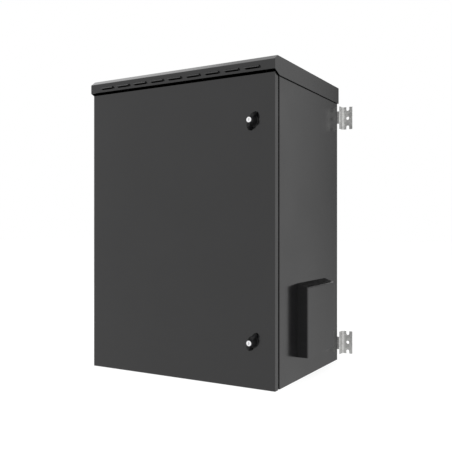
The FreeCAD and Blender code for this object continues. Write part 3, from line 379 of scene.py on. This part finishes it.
def use_group(material, name, place, **values):
    """Places a shared group in a material with its own values."""
    node = add_node(material.node_tree, "ShaderNodeGroup", place)
    node.node_tree = bpy.data.node_groups[name]
    for title, value in values.items():
        node.inputs[title].default_value = value
    return node


def principled(name, colour, roughness, metallic=0.0, **constants):
    """A new material with its shader; constants go on the shader's own sockets."""
    material = bpy.data.materials.new(name)
    material.use_nodes = True
    shader = material.node_tree.nodes["Principled BSDF"]
    shader.inputs["Base Color"].default_value = (*colour, 1.0)
    shader.inputs["Roughness"].default_value = roughness
    shader.inputs["Metallic"].default_value = metallic
    for title, value in constants.items():
        shader.inputs[title.replace("_", " ")].default_value = value
    return material, shader


def mix_colour(tree, mask, first, second, place):
    """Colour between two, by a mask; each may be a colour or a socket."""
    node = add_node(tree, "ShaderNodeMix", place, data_type="RGBA")
    tree.links.new(mask, node.inputs["Factor"])
    for socket, value in ((node.inputs[6], first), (node.inputs[7], second)):
        if isinstance(value, bpy.types.NodeSocket):
            tree.links.new(value, socket)
        else:
            socket.default_value = (*value, 1.0)
    return node.outputs[2]


def bump(tree, height, distance, strength, place, normal=None):
    node = add_node(tree, "ShaderNodeBump", place)
    node.inputs["Distance"].default_value = distance
    node.inputs["Strength"].default_value = strength
    tree.links.new(height, node.inputs["Height"])
    if normal is not None:
        tree.links.new(normal, node.inputs["Normal"])
    return node.outputs["Normal"]


def coated_material(name, colour, roughness, grain, depth, wear_colour, wear, dust, gloss_level=0.5):
    """Powder coat or moulded plastic: fine texture, softened edges with a little wear, some dust."""
    material, shader = principled(name, colour, roughness, Specular_IOR_Level=gloss_level)
    tree = material.node_tree
    coat = use_group(material, "Coat texture", (-900, 100), Size=grain)
    edges = use_group(material, "Edge wear", (-900, -150), Radius=SOFT_EDGE, Amount=wear)
    settled = use_group(material, "Settled dust", (-900, -400), Amount=dust)
    drift = stretch(tree, coat.outputs["Drift"], 0.3, 0.7, 0.0, 1.0, (-650, 250))
    lighter = tuple(min(1.0, c * TONE_DRIFT) for c in colour)
    tone = mix_colour(tree, drift, colour, lighter, (-430, 250))
    worn = mix_colour(tree, edges.outputs["Mask"], tone, wear_colour, (-220, 150))
    dusty = mix_colour(tree, settled.outputs["Mask"], worn, DUST_COLOUR, (0, 100))
    tree.links.new(dusty, shader.inputs["Base Color"])
    gloss = stretch(tree, coat.outputs["Drift"], 0.3, 0.7, roughness - 0.03, roughness + 0.04, (-430, -50))
    dulled = math_node(tree, "MULTIPLY_ADD", settled.outputs["Mask"], 0.5, (-220, -100), clamp=True)
    tree.links.new(gloss, dulled.node.inputs[2])
    tree.links.new(dulled, shader.inputs["Roughness"])
    peel = bump(tree, coat.outputs["Height"], depth, 0.35, (-220, -350), edges.outputs["Normal"])
    tree.links.new(peel, shader.inputs["Normal"])
    return material


def galvanised_material(settings):
    """Hot dip galvanised sheet: crystals in two tones, brighter along its edges."""
    material, shader = principled("galvanised steel", settings.galvanised, 0.55, 1.0)
    tree = material.node_tree
    crystals = use_group(material, "Zinc spangle", (-900, 100), Size=settings.spangle)
    edges = use_group(material, "Edge wear", (-900, -200), Radius=SOFT_EDGE, Amount=0.7)
    dark = tuple(c * 0.82 for c in settings.galvanised)
    light = tuple(min(1.0, c * 1.22) for c in settings.galvanised)
    tone = mix_colour(tree, crystals.outputs["Tone"], dark, light, (-430, 200))
    bright = mix_colour(tree, edges.outputs["Mask"], tone, WORN_GALVANISED, (-220, 150))
    tree.links.new(bright, shader.inputs["Base Color"])
    gloss = stretch(tree, crystals.outputs["Tone"], 0.0, 1.0, 0.48, 0.64, (-430, -50))
    tree.links.new(gloss, shader.inputs["Roughness"])
    relief = bump(tree, crystals.outputs["Height"], 0.06 * MM, 0.3, (-220, -300), edges.outputs["Normal"])
    tree.links.new(relief, shader.inputs["Normal"])
    return material


def zinc_material(settings):
    """Zinc plated fasteners and fittings, a little uneven, brighter along their edges."""
    material, shader = principled("bright zinc", settings.zinc, 0.3, 1.0)
    tree = material.node_tree
    coat = use_group(material, "Coat texture", (-900, 100), Size=0.7 * MM)
    edges = use_group(material, "Edge wear", (-900, -200), Radius=0.4 * MM, Amount=0.8)
    dull = tuple(c * 0.7 for c in settings.zinc)
    tone = mix_colour(tree, coat.outputs["Drift"], dull, settings.zinc, (-430, 200))
    bright = mix_colour(tree, edges.outputs["Mask"], tone, WORN_ZINC, (-220, 150))
    tree.links.new(bright, shader.inputs["Base Color"])
    gloss = stretch(tree, coat.outputs["Drift"], 0.3, 0.7, 0.24, 0.4, (-430, -50))
    tree.links.new(gloss, shader.inputs["Roughness"])
    relief = bump(tree, coat.outputs["Height"], 0.03 * MM, 0.25, (-220, -300), edges.outputs["Normal"])
    tree.links.new(relief, shader.inputs["Normal"])
    return material


def chrome_material(settings):
    """Polished plating, with the base metal showing a little along its edges."""
    material, shader = principled("chrome", settings.chrome, 0.08, 1.0)
    tree = material.node_tree
    coat = use_group(material, "Coat texture", (-900, 100), Size=1.6 * MM)
    edges = use_group(material, "Edge wear", (-900, -200), Radius=0.3 * MM, Amount=0.4)
    worn = mix_colour(tree, edges.outputs["Mask"], settings.chrome, WORN_CHROME, (-220, 150))
    tree.links.new(worn, shader.inputs["Base Color"])
    gloss = stretch(tree, coat.outputs["Height"], 0.4, 0.9, 0.05, 0.14, (-430, -50))
    tree.links.new(gloss, shader.inputs["Roughness"])
    relief = bump(tree, coat.outputs["Height"], 0.01 * MM, 0.2, (-220, -300), edges.outputs["Normal"])
    tree.links.new(relief, shader.inputs["Normal"])
    return material


def soft_material(name, colour, light, size, depth, roughness):
    """Rubber, foam or fleece: fibres or cells in two tones."""
    material, shader = principled(name, colour, roughness)
    tree = material.node_tree
    fibres = use_group(material, "Fibres", (-900, 100), Size=size)
    tone = fibres.outputs["Tone"]
    tree.links.new(mix_colour(tree, tone, colour, light, (-430, 150)), shader.inputs["Base Color"])
    gloss = stretch(tree, tone, 0.3, 0.7, roughness - 0.08, roughness + 0.05, (-430, -50))
    tree.links.new(gloss, shader.inputs["Roughness"])
    relief = bump(tree, fibres.outputs["Height"], depth, 0.6, (-220, -300))
    tree.links.new(relief, shader.inputs["Normal"])
    return material


def finish_nodes(material, names):
    """Gives a material to the CAD pieces of these names."""
    for name in names:
        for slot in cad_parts[name].material_slots:
            slot.material = material


# Shaping helpers

def clear_selection():
    if bpy.context.object and bpy.context.object.mode != "OBJECT":
        bpy.ops.object.mode_set(mode="OBJECT")
    bpy.ops.object.select_all(action="DESELECT")


def start_piece(name):
    """Names the primitive that was just added and settles its place in its mesh."""
    piece = bpy.context.object
    piece.name = name
    bpy.ops.object.transform_apply(location=True, rotation=True, scale=True)
    return piece


def pick(piece, test, kind="verts"):
    """In edit mode, selects only the vertices, edges or faces that pass a test."""
    mode = {"verts": "VERT", "edges": "EDGE", "faces": "FACE"}[kind]
    bpy.ops.mesh.select_mode(type=mode)
    bpy.ops.mesh.select_all(action="DESELECT")
    mesh = bmesh.from_edit_mesh(piece.data)
    for item in getattr(mesh, kind):
        if test(item):
            item.select_set(True)
    mesh.select_flush_mode()
    bmesh.update_edit_mesh(piece.data)


def combine(piece, other, operation):
    """Applies a boolean with another object, which is then removed."""
    modifier = piece.modifiers.new("cut", "BOOLEAN")
    modifier.operation, modifier.object, modifier.solver = operation, other, "EXACT"
    clear_selection()
    bpy.context.view_layer.objects.active = piece
    bpy.ops.object.modifier_apply(modifier=modifier.name)
    bpy.data.objects.remove(other)


def bevel_all(piece, width, segments, angle):
    """Rounds every edge that is sharper than an angle in degrees."""
    modifier = piece.modifiers.new("edges", "BEVEL")
    modifier.width, modifier.segments, modifier.angle_limit = width, segments, math.radians(angle)
    modifier.limit_method = "ANGLE"
    clear_selection()
    bpy.context.view_layer.objects.active = piece
    bpy.ops.object.modifier_apply(modifier=modifier.name)


def smooth(piece, angle):
    """Shades smooth, but for edges that are sharper than an angle in degrees."""
    clear_selection()
    piece.select_set(True)
    bpy.context.view_layer.objects.active = piece
    bpy.ops.object.shade_smooth_by_angle(angle=math.radians(angle))


def along_y(radius, low, high, x, z, name, vertices=64, end_radius=None):
    """A cylinder along y between two levels, or a cone where its radius at the high level differs."""
    clear_selection()
    place = (x, (low + high) / 2, z)
    turn = (math.radians(90), 0, 0)
    if end_radius is None:
        bpy.ops.mesh.primitive_cylinder_add(vertices=vertices, radius=radius, depth=high - low,
                                            location=place, rotation=turn)
    else:
        bpy.ops.mesh.primitive_cone_add(vertices=vertices, radius1=end_radius, radius2=radius,
                                        depth=high - low, location=place, rotation=turn)
    return start_piece(name)


def block(low, high, name):
    """A box between two corners."""
    clear_selection()
    low, high = Vector(low), Vector(high)
    bpy.ops.mesh.primitive_cube_add(size=1, location=(low + high) / 2, scale=high - low)
    return start_piece(name)


def finished(piece, body, slot, material, *nodes):
    """Puts a finished piece on its body in place of its plain solids."""
    piece.data.materials.clear()
    piece.data.materials.append(material)
    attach(piece, body)
    if nodes:
        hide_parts(*nodes)


# Operators

class CABINET_OT_coat_sheet_metal(bpy.types.Operator):
    """Powder coats the folded sheet metal"""
    bl_idname = "cabinet.coat_sheet_metal"
    bl_label = "Coat sheet metal"

    def execute(self, context):
        paint = context.scene.cabinet_paint
        coat = coated_material("black powder coat", paint.colour, paint.roughness, paint.grain,
                               depth=0.03 * MM, wear_colour=WORN_COAT, wear=0.35, dust=0.05,
                               gloss_level=0.585)
        finish_nodes(coat, SHEET_METAL)
        return {"FINISHED"}


class CABINET_OT_finish_steel(bpy.types.Operator):
    """Galvanises brackets and rails and plates the fasteners"""
    bl_idname = "cabinet.finish_steel"
    bl_label = "Finish steel"

    def execute(self, context):
        steel = context.scene.cabinet_steel
        finish_nodes(galvanised_material(steel), GALVANISED)
        finish_nodes(zinc_material(steel), BRIGHT_ZINC)
        return {"FINISHED"}


class CABINET_OT_finish_plastics(bpy.types.Operator):
    """Finishes the fan's mouldings, the rubber edging and the filter"""
    bl_idname = "cabinet.finish_plastics"
    bl_label = "Finish plastics"

    def execute(self, context):
        moulding = coated_material("fan moulding", (0.012, 0.012, 0.012), roughness=0.5, grain=0.6 * MM,
                                   depth=0.04 * MM, wear_colour=WORN_FAN, wear=0.3, dust=0.12)
        finish_nodes(moulding, FAN_PLASTIC)
        rubber = soft_material("black rubber", (0.008, 0.008, 0.008), (0.02, 0.02, 0.02), size=0.8 * MM,
                               depth=0.05 * MM, roughness=0.6)
        finish_nodes(rubber, RUBBER)
        fleece = soft_material("filter fleece", (0.5, 0.5, 0.47), (0.85, 0.85, 0.82), size=1.4 * MM,
                               depth=0.6 * MM, roughness=0.85)
        finish_nodes(fleece, ("filter_mat",))
        return {"FINISHED"}


class CABINET_OT_shape_lock_knobs(bpy.types.Operator):
    """Models the two wing knobs, and finishes the rosettes that they turn in"""
    bl_idname = "cabinet.shape_lock_knobs"
    bl_label = "Shape lock knobs"

    def execute(self, context):
        lock = context.scene.cabinet_lock
        plastic = coated_material("lock plastic", lock.plastic, roughness=0.33, grain=0.4 * MM,
                                  depth=0.02 * MM, wear_colour=WORN_LOCK, wear=0.4, dust=0.0,
                                  gloss_level=0.26)
        finish_nodes(plastic, ("lock_housings",))
        for level in ("upper", "lower"):
            knob = self.wing_knob(level, lock)
            finished(knob, level + "_lock", "lock_plastic", plastic, level + "_lock_knob")
        return {"FINISHED"}

    def wing_knob(self, level, lock):
        """The wing on its nose, with the spindle through the door, the cam's square and two bores."""
        plug_low, plug_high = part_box(level + "_key_plug")
        cam_front, cam_back = (corner[1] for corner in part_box(level + "_lock_cam"))
        x, z = (plug_low[0] + plug_high[0]) / 2, (plug_low[2] + plug_high[2]) / 2
        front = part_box(level + "_lock_knob")[0][1]
        back = front + NOSE_DEPTH
        nose = along_y(NOSE_RADIUS, front, back, x, z, "nose", end_radius=NOSE_BASE_RADIUS)
        bevel_all(nose, NOSE_BEVEL, 3, 40)
        knob = self.wing(level + "_wing_knob", lock, x, back, z)
        combine(knob, nose, "UNION")
        spindle = along_y(SPINDLE_RADIUS, back - OVERLAP, cam_front, x, z, "spindle")
        combine(knob, spindle, "UNION")
        reach = SPINDLE_SQUARE / 2
        square = block((x - reach, cam_front - OVERLAP, z - reach),
                       (x + reach, cam_back, z + reach), "square")
        combine(knob, square, "UNION")
        bore = along_y((plug_high[0] - plug_low[0]) / 2 + PLUG_CLEARANCE, front - OVERLAP,
                       plug_high[1] + PLUG_FLOOR_GAP, x, z, "bore")
        combine(knob, bore, "DIFFERENCE")
        thread = along_y(CAM_BOLT_RADIUS, cam_back - CAM_BOLT_GRIP, cam_back + OVERLAP, x, z, "thread",
                         vertices=32)
        combine(knob, thread, "DIFFERENCE")
        smooth(knob, 40)
        return knob

    def wing(self, name, lock, x, back, z):
        """The wing alone: a cylinder drawn out to both sides, narrowed towards its top and tilted."""
        end_radius = lock.wing_width / 2
        wing = along_y(end_radius, back - lock.wing_height, back, x, z, name, vertices=48)
        bpy.context.view_layer.objects.active = wing
        bpy.ops.object.mode_set(mode="EDIT")
        reach = lock.wing_length / 2 - end_radius
        for sign in (1, -1):
            pick(wing, lambda v: sign * (v.co.z - z) > CLOSE)
            bpy.ops.transform.translate(value=(0, 0, sign * reach))
        pick(wing, lambda v: v.co.y < back - lock.wing_height / 2)
        bpy.ops.transform.resize(value=(WING_TOP_WIDTH, 1, WING_TOP_LENGTH), center_override=(x, back, z))
        pick(wing, lambda v: True)
        bpy.ops.transform.rotate(value=-math.radians(WING_TILT), orient_axis="Y",
                                 center_override=(x, back, z))
        bpy.ops.object.mode_set(mode="OBJECT")
        tip = max(wing.data.vertices, key=lambda v: v.co.z).co
        if tip.x < x:
            raise RuntimeError("the wing leans the wrong way")
        bevel_all(wing, lock.edge, 4, 40)
        return wing


class CABINET_OT_shape_key_plugs(bpy.types.Operator):
    """Models the chromed key plugs with their keyways"""
    bl_idname = "cabinet.shape_key_plugs"
    bl_label = "Shape key plugs"

    def execute(self, context):
        chrome = chrome_material(context.scene.cabinet_lock)
        # the keyway's material is painted shade for the inside of the slot
        keyway = self.keyway_material()
        for level in ("upper", "lower"):
            plug = self.plug(level, chrome, keyway)
            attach(plug, level + "_key")
            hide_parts(level + "_key_plug")
        return {"FINISHED"}

    def keyway_material(self):
        """The inside of the keyway, near black: painted shade of the deep, narrow slot."""
        # the near-black colour is painted shade, not the colour of the plug's metal
        material, shader = principled("keyway", (0.03, 0.03, 0.03), 0.6, Specular_IOR_Level=0.2)
        tree = material.node_tree
        grain = use_group(material, "Coat texture", (-900, 0), Size=0.5 * MM)
        relief = bump(tree, grain.outputs["Height"], 0.02 * MM, 0.4, (-300, 0))
        tree.links.new(relief, shader.inputs["Normal"])
        return material

    def plug(self, level, chrome, keyway):
        """A plated cylinder with a rim round its face, and the keyway with its side step cut in."""
        low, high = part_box(level + "_key_plug")
        x, z = (low[0] + high[0]) / 2, (low[2] + high[2]) / 2
        front = low[1]
        plug = along_y((high[0] - low[0]) / 2, front, high[1], x, z, level + "_chrome_plug", vertices=72)
        bpy.context.view_layer.objects.active = plug
        bpy.ops.object.mode_set(mode="EDIT")
        pick(plug, lambda f: f.calc_center_median().y < front + CLOSE, "faces")
        bpy.ops.mesh.inset(thickness=PLUG_RIM)
        bpy.ops.mesh.inset(thickness=PLUG_RECESS, depth=-PLUG_RECESS)
        bpy.ops.object.mode_set(mode="OBJECT")
        bevel_all(plug, PLUG_BEVEL, 3, 30)
        plug.data.materials.append(chrome)

        start, end = front - OVERLAP, front + KEYWAY_DEPTH
        slot = block((x - KEYWAY_WIDTH / 2, start, z - KEYWAY_HEIGHT / 2),
                     (x + KEYWAY_WIDTH / 2, end, z + KEYWAY_HEIGHT / 2), "slot")
        bevel_all(slot, KEYWAY_BEVEL, 3, 60)
        step = block((x + WARD_SIDES[0], start, z + WARD_ENDS[0]),
                     (x + WARD_SIDES[1], end, z + WARD_ENDS[1]), "step")
        # the cutters give the keyway's walls the painted shade
        for cutter in (slot, step):
            cutter.data.materials.append(keyway)
            combine(plug, cutter, "DIFFERENCE")
        smooth(plug, 30)
        return plug


class CABINET_OT_shape_door_gasket(bpy.types.Operator):
    """Models the foam gasket with its rounded crown"""
    bl_idname = "cabinet.shape_door_gasket"
    bl_label = "Shape door gasket"

    def execute(self, context):
        gasket = self.gasket(context.scene.cabinet_seal)
        foam = soft_material("gasket foam", (0.006, 0.006, 0.006), (0.02, 0.02, 0.02), size=0.9 * MM,
                             depth=0.12 * MM, roughness=0.75)
        finished(gasket, "door", "rubber", foam, "door_gasket")
        return {"FINISHED"}

    def gasket(self, seal):
        """A ring with rounded corners, cut from a plate, thickened and rounded along its rear edges."""
        low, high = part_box("door_gasket")
        centre = Vector(((low[0] + high[0]) / 2, low[1], (low[2] + high[2]) / 2))
        clear_selection()
        bpy.ops.mesh.primitive_plane_add(size=1, location=centre, rotation=(math.radians(90), 0, 0))
        bpy.context.object.scale = (high[0] - low[0], high[2] - low[2], 1)
        gasket = start_piece("foam_gasket")
        bpy.ops.object.mode_set(mode="EDIT")
        pick(gasket, lambda v: True)
        bpy.ops.mesh.bevel(offset=seal.corner, segments=6, affect="VERTICES")
        pick(gasket, lambda f: True, "faces")
        bpy.ops.mesh.inset(thickness=seal.width)
        pick(gasket, lambda f: (f.calc_center_median() - centre).length < CLOSE, "faces")
        bpy.ops.mesh.delete(type="FACE")
        pick(gasket, lambda f: True, "faces")
        bpy.ops.mesh.extrude_region_move(TRANSFORM_OT_translate={"value": (0, high[1] - low[1], 0)})
        bpy.ops.mesh.select_all(action="SELECT")
        bpy.ops.mesh.normals_make_consistent(inside=False)
        pick(gasket, lambda e: all(v.co.y > high[1] - CLOSE for v in e.verts)
             and any(abs(f.normal.y) < 0.5 for f in e.link_faces), "edges")
        bpy.ops.mesh.bevel(offset=seal.crown, segments=4)
        bpy.ops.object.mode_set(mode="OBJECT")
        smooth(gasket, 50)
        return gasket


class CABINET_OT_shape_bracket_bolts(bpy.types.Operator):
    """Models the flanged hexagon bolts of the wall brackets"""
    bl_idname = "cabinet.shape_bracket_bolts"
    bl_label = "Shape bracket bolts"

    def execute(self, context):
        low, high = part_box("bracket_bolts")
        bolt = self.bolt(low[1], high[1])
        left, right = low[0] + PLAIN_HEAD_HALF_WIDTH, high[0] - PLAIN_HEAD_HALF_WIDTH
        copies = []
        for x in (left, left + BOLT_STEP, right - BOLT_STEP, right):
            for z in (low[2] + PLAIN_HEAD_HALF_HEIGHT, high[2] - PLAIN_HEAD_HALF_HEIGHT):
                copy = bolt.copy()
                copy.data = bolt.data.copy()
                bpy.context.collection.objects.link(copy)
                copy.location = (x, 0, z)
                copies.append(copy)
        bpy.data.objects.remove(bolt)
        clear_selection()
        for copy in copies:
            copy.select_set(True)
        bpy.context.view_layer.objects.active = copies[0]
        bpy.ops.object.transform_apply(location=True, rotation=True, scale=True)
        bpy.ops.object.join()
        bolts = bpy.context.object
        bolts.name = "flanged_bolts"
        finished(bolts, "cabinet", "zinc_steel", bpy.data.materials["bright zinc"], "bracket_bolts")
        return {"FINISHED"}

    def bolt(self, tip, end):
        """One bolt on the y axis: a hexagon with a domed end on a round flange, and its shank."""
        seat = end - BOLT_HEAD_HEIGHT
        bolt = along_y(BOLT_HEAD_RADIUS, seat + BOLT_HEXAGON_START, end, 0, 0, "bracket_bolt",
                       vertices=6)
        dome = along_y(BOLT_DOME_FOOT, seat, end, 0, 0, "dome", end_radius=BOLT_DOME_TOP)
        combine(bolt, dome, "INTERSECT")
        flange = along_y(BOLT_FLANGE_RADIUS, seat, seat + BOLT_FLANGE_HEIGHT, 0, 0, "flange")
        bevel_all(flange, BOLT_FLANGE_BEVEL, 2, 40)
        combine(bolt, flange, "UNION")
        shank = along_y(BOLT_SHANK_RADIUS, tip, seat + BOLT_SHANK_END, 0, 0, "shank", vertices=32)
        combine(bolt, shank, "UNION")
        bevel_all(bolt, BOLT_BEVEL, 2, 40)
        smooth(bolt, 35)
        return bolt


class CABINET_OT_build_stage(bpy.types.Operator):
    """Builds the pale floor, the soft light and the camera"""
    bl_idname = "cabinet.build_stage"
    bl_label = "Build stage"

    def execute(self, context):
        stage = context.scene.cabinet_stage
        context.scene.view_settings.view_transform = "Standard"
        self.world(stage)
        self.floor(stage)
        top = self.soft_box("top light", place=(0.1, -0.5, 2.6), aim=(0, 0, 0.5), size=2.6,
                            power=stage.top_power)
        key = self.soft_box("key light", place=(-1.9, -2.6, 1.9), aim=(0, 0, 0.4), size=2.2,
                            power=stage.key_power)
        top.visible_glossy = key.visible_glossy = False
        self.soft_box("rear light", place=(-2.1, 0.7, 2.5), aim=(-0.3, -0.2, 0.85), size=1.6,
                      power=stage.rear_power)
        self.grey_rear()
        self.camera(stage)
        return {"FINISHED"}

    def world(self, stage):
        """Even light from all round, which is white where it is seen or mirrored."""
        world = bpy.data.worlds.new("studio")
        bpy.context.scene.world = world
        world.use_nodes = True
        tree = world.node_tree
        output, plain = tree.nodes["World Output"], tree.nodes["Background"]
        plain.inputs["Color"].default_value = (1, 1, 1, 1)
        plain.inputs["Strength"].default_value = stage.sky
        white = add_node(tree, "ShaderNodeBackground", (0, -200))
        white.inputs["Color"].default_value = (1, 1, 1, 1)
        white.inputs["Strength"].default_value = 1.0
        mix = add_node(tree, "ShaderNodeMixShader", (250, 0))
        tree.links.new(seen_directly(tree, (-500, 200)), mix.inputs["Fac"])
        tree.links.new(plain.outputs[0], mix.inputs[1])
        tree.links.new(white.outputs[0], mix.inputs[2])
        tree.links.new(mix.outputs[0], output.inputs["Surface"])

    def floor(self, stage):
        """Pale paper under the cabinet, nearly white to the camera but for the soft shadow."""
        clear_selection()
        bpy.ops.mesh.primitive_plane_add(size=FLOOR_SIZE, location=(0, 0, -FLOOR_DROP))
        floor = bpy.context.object
        floor.name = "studio_floor"
        material, tree = self.bare_material("studio floor")
        output = tree.nodes["Material Output"]
        paper = add_node(tree, "ShaderNodeBsdfDiffuse", (-200, 200))
        paper.inputs["Color"].default_value = (*stage.floor_colour, 1)
        soft = add_node(tree, "ShaderNodeBsdfDiffuse", (-200, 0))
        soft.inputs["Color"].default_value = (FLOOR_LIT, FLOOR_LIT, FLOOR_LIT, 1)
        glow = add_node(tree, "ShaderNodeEmission", (-200, -200))
        glow.inputs["Strength"].default_value = FLOOR_GLOW
        lit = add_node(tree, "ShaderNodeAddShader", (50, -100))
        tree.links.new(soft.outputs[0], lit.inputs[0])
        tree.links.new(glow.outputs[0], lit.inputs[1])
        mix = add_node(tree, "ShaderNodeMixShader", (250, 0))
        tree.links.new(seen_directly(tree, (-700, 200)), mix.inputs["Fac"])
        tree.links.new(paper.outputs[0], mix.inputs[1])
        tree.links.new(lit.outputs[0], mix.inputs[2])
        tree.links.new(mix.outputs[0], output.inputs["Surface"])
        floor.data.materials.append(material)
        floor.visible_glossy = False

    def bare_material(self, name):
        """A new material with nothing but its output."""
        material = bpy.data.materials.new(name)
        material.use_nodes = True
        tree = material.node_tree
        tree.nodes.remove(tree.nodes["Principled BSDF"])
        return material, tree

    def soft_box(self, name, place, aim, size, power):
        """A square lamp that faces a point."""
        data = bpy.data.lights.new(name, "AREA")
        data.shape, data.size, data.energy = "SQUARE", size, power
        light = bpy.data.objects.new(name, data)
        bpy.context.collection.objects.link(light)
        light.location = place
        light.rotation_euler = (Vector(aim) - Vector(place)).to_track_quat("-Z", "Y").to_euler()
        return light

    def grey_rear(self):
        """The dim rear of the studio: a far wall that shows only mirrored, in the cabinet's side."""
        clear_selection()
        bpy.ops.mesh.primitive_plane_add(size=1, location=(0, REAR_DISTANCE, 0),
                                         rotation=(math.radians(90), 0, 0))
        bpy.context.object.scale = (REAR_WIDTH * REAR_DISTANCE, REAR_HEIGHT * REAR_DISTANCE, 1)
        rear = start_piece("studio_rear")
        material, tree = self.bare_material("studio rear")
        spot = add_node(tree, "ShaderNodeTexCoord", (-900, 0)).outputs["Object"]
        parts = add_node(tree, "ShaderNodeSeparateXYZ", (-700, 0))
        tree.links.new(spot, parts.inputs[0])
        across = math_node(tree, "DIVIDE", parts.outputs["X"], REAR_DISTANCE, (-500, 100))
        fade = self.ramp(tree, across, REAR_FADE, (-300, 100))
        rise = math_node(tree, "DIVIDE", parts.outputs["Z"], REAR_DISTANCE, (-500, -150))
        low = stretch(tree, rise, *REAR_LIFT_LEVELS, 0.0, REAR_LIFT, (-300, -150))
        missing = math_node(tree, "SUBTRACT", REAR_PALE, fade, (0, 0))
        lift = math_node(tree, "MULTIPLY", low, missing, (200, -50))
        glow = add_node(tree, "ShaderNodeEmission", (600, 0))
        tree.links.new(math_node(tree, "ADD", fade, lift, (400, 50)), glow.inputs["Strength"])
        tree.links.new(glow.outputs[0], tree.nodes["Material Output"].inputs["Surface"])
        rear.data.materials.append(material)
        rear.visible_camera = rear.visible_diffuse = rear.visible_shadow = rear.visible_transmission = False

    def ramp(self, tree, value, stops, place):
        """A grey that runs through the stops, each a place on the ramp and its brightness."""
        node = add_node(tree, "ShaderNodeValToRGB", place)
        points = node.color_ramp.elements
        while len(points) < len(stops):
            points.new(0.5)
        for point, (position, grey) in zip(points, stops):
            point.position = position
            point.color = (grey, grey, grey, 1)
        tree.links.new(value, node.inputs[0])
        return node.outputs["Color"]

    def camera(self, stage):
        """A level camera, turned to the cabinet."""
        data = bpy.data.cameras.new("camera")
        data.lens, data.shift_y = stage.lens, stage.rise
        camera = bpy.data.objects.new("camera", data)
        bpy.context.collection.objects.link(camera)
        camera.location = stage.camera_place
        camera.rotation_euler = (math.radians(90), 0, stage.camera_turn)
        bpy.context.scene.camera = camera


def seen_directly(tree, place):
    """A value of 1 for camera, mirror and glass rays."""
    path = add_node(tree, "ShaderNodeLightPath", place)
    mirrored = math_node(tree, "ADD", path.outputs["Is Camera Ray"], path.outputs["Is Glossy Ray"],
                         (place[0] + 200, place[1]))
    return math_node(tree, "ADD", mirrored, path.outputs["Is Transmission Ray"],
                     (place[0] + 400, place[1]), clamp=True)


class CABINET_PT_tools(bpy.types.Panel):
    """Lists the cabinet's settings and steps"""
    bl_label = "Wall cabinet"
    bl_idname = "CABINET_PT_tools"
    bl_space_type = "VIEW_3D"
    bl_region_type = "UI"
    bl_category = "Cabinet"

    def draw(self, context):
        for name in SETTINGS:
            box = self.layout.box()
            settings = getattr(context.scene, name)
            for key in settings.__annotations__:
                box.prop(settings, key)
        for step in STEPS:
            self.layout.operator(step.bl_idname)


SETTINGS = {"cabinet_paint": CabinetPaint, "cabinet_steel": CabinetSteel, "cabinet_lock": CabinetLock,
            "cabinet_seal": CabinetSeal, "cabinet_stage": CabinetStage}
STEPS = (CABINET_OT_coat_sheet_metal, CABINET_OT_finish_steel, CABINET_OT_finish_plastics,
         CABINET_OT_shape_lock_knobs, CABINET_OT_shape_key_plugs, CABINET_OT_shape_door_gasket,
         CABINET_OT_shape_bracket_bolts, CABINET_OT_build_stage)
GROUPS = (coat_texture_group, edge_wear_group, dust_group, spangle_group, fibre_group)


def register():
    for kind in (*SETTINGS.values(), *STEPS, CABINET_PT_tools):
        bpy.utils.register_class(kind)
    for name, kind in SETTINGS.items():
        setattr(bpy.types.Scene, name, bpy.props.PointerProperty(type=kind))


def unregister():
    for name in SETTINGS:
        delattr(bpy.types.Scene, name)
    for kind in (CABINET_PT_tools, *reversed(STEPS), *reversed(SETTINGS.values())):
        bpy.utils.unregister_class(kind)


def main():
    register()
    for build in GROUPS:
        build()
    for step in STEPS:
        area, action = step.bl_idname.split(".")
        getattr(getattr(bpy.ops, area), action)()


if __name__ == "__main__":
    main()
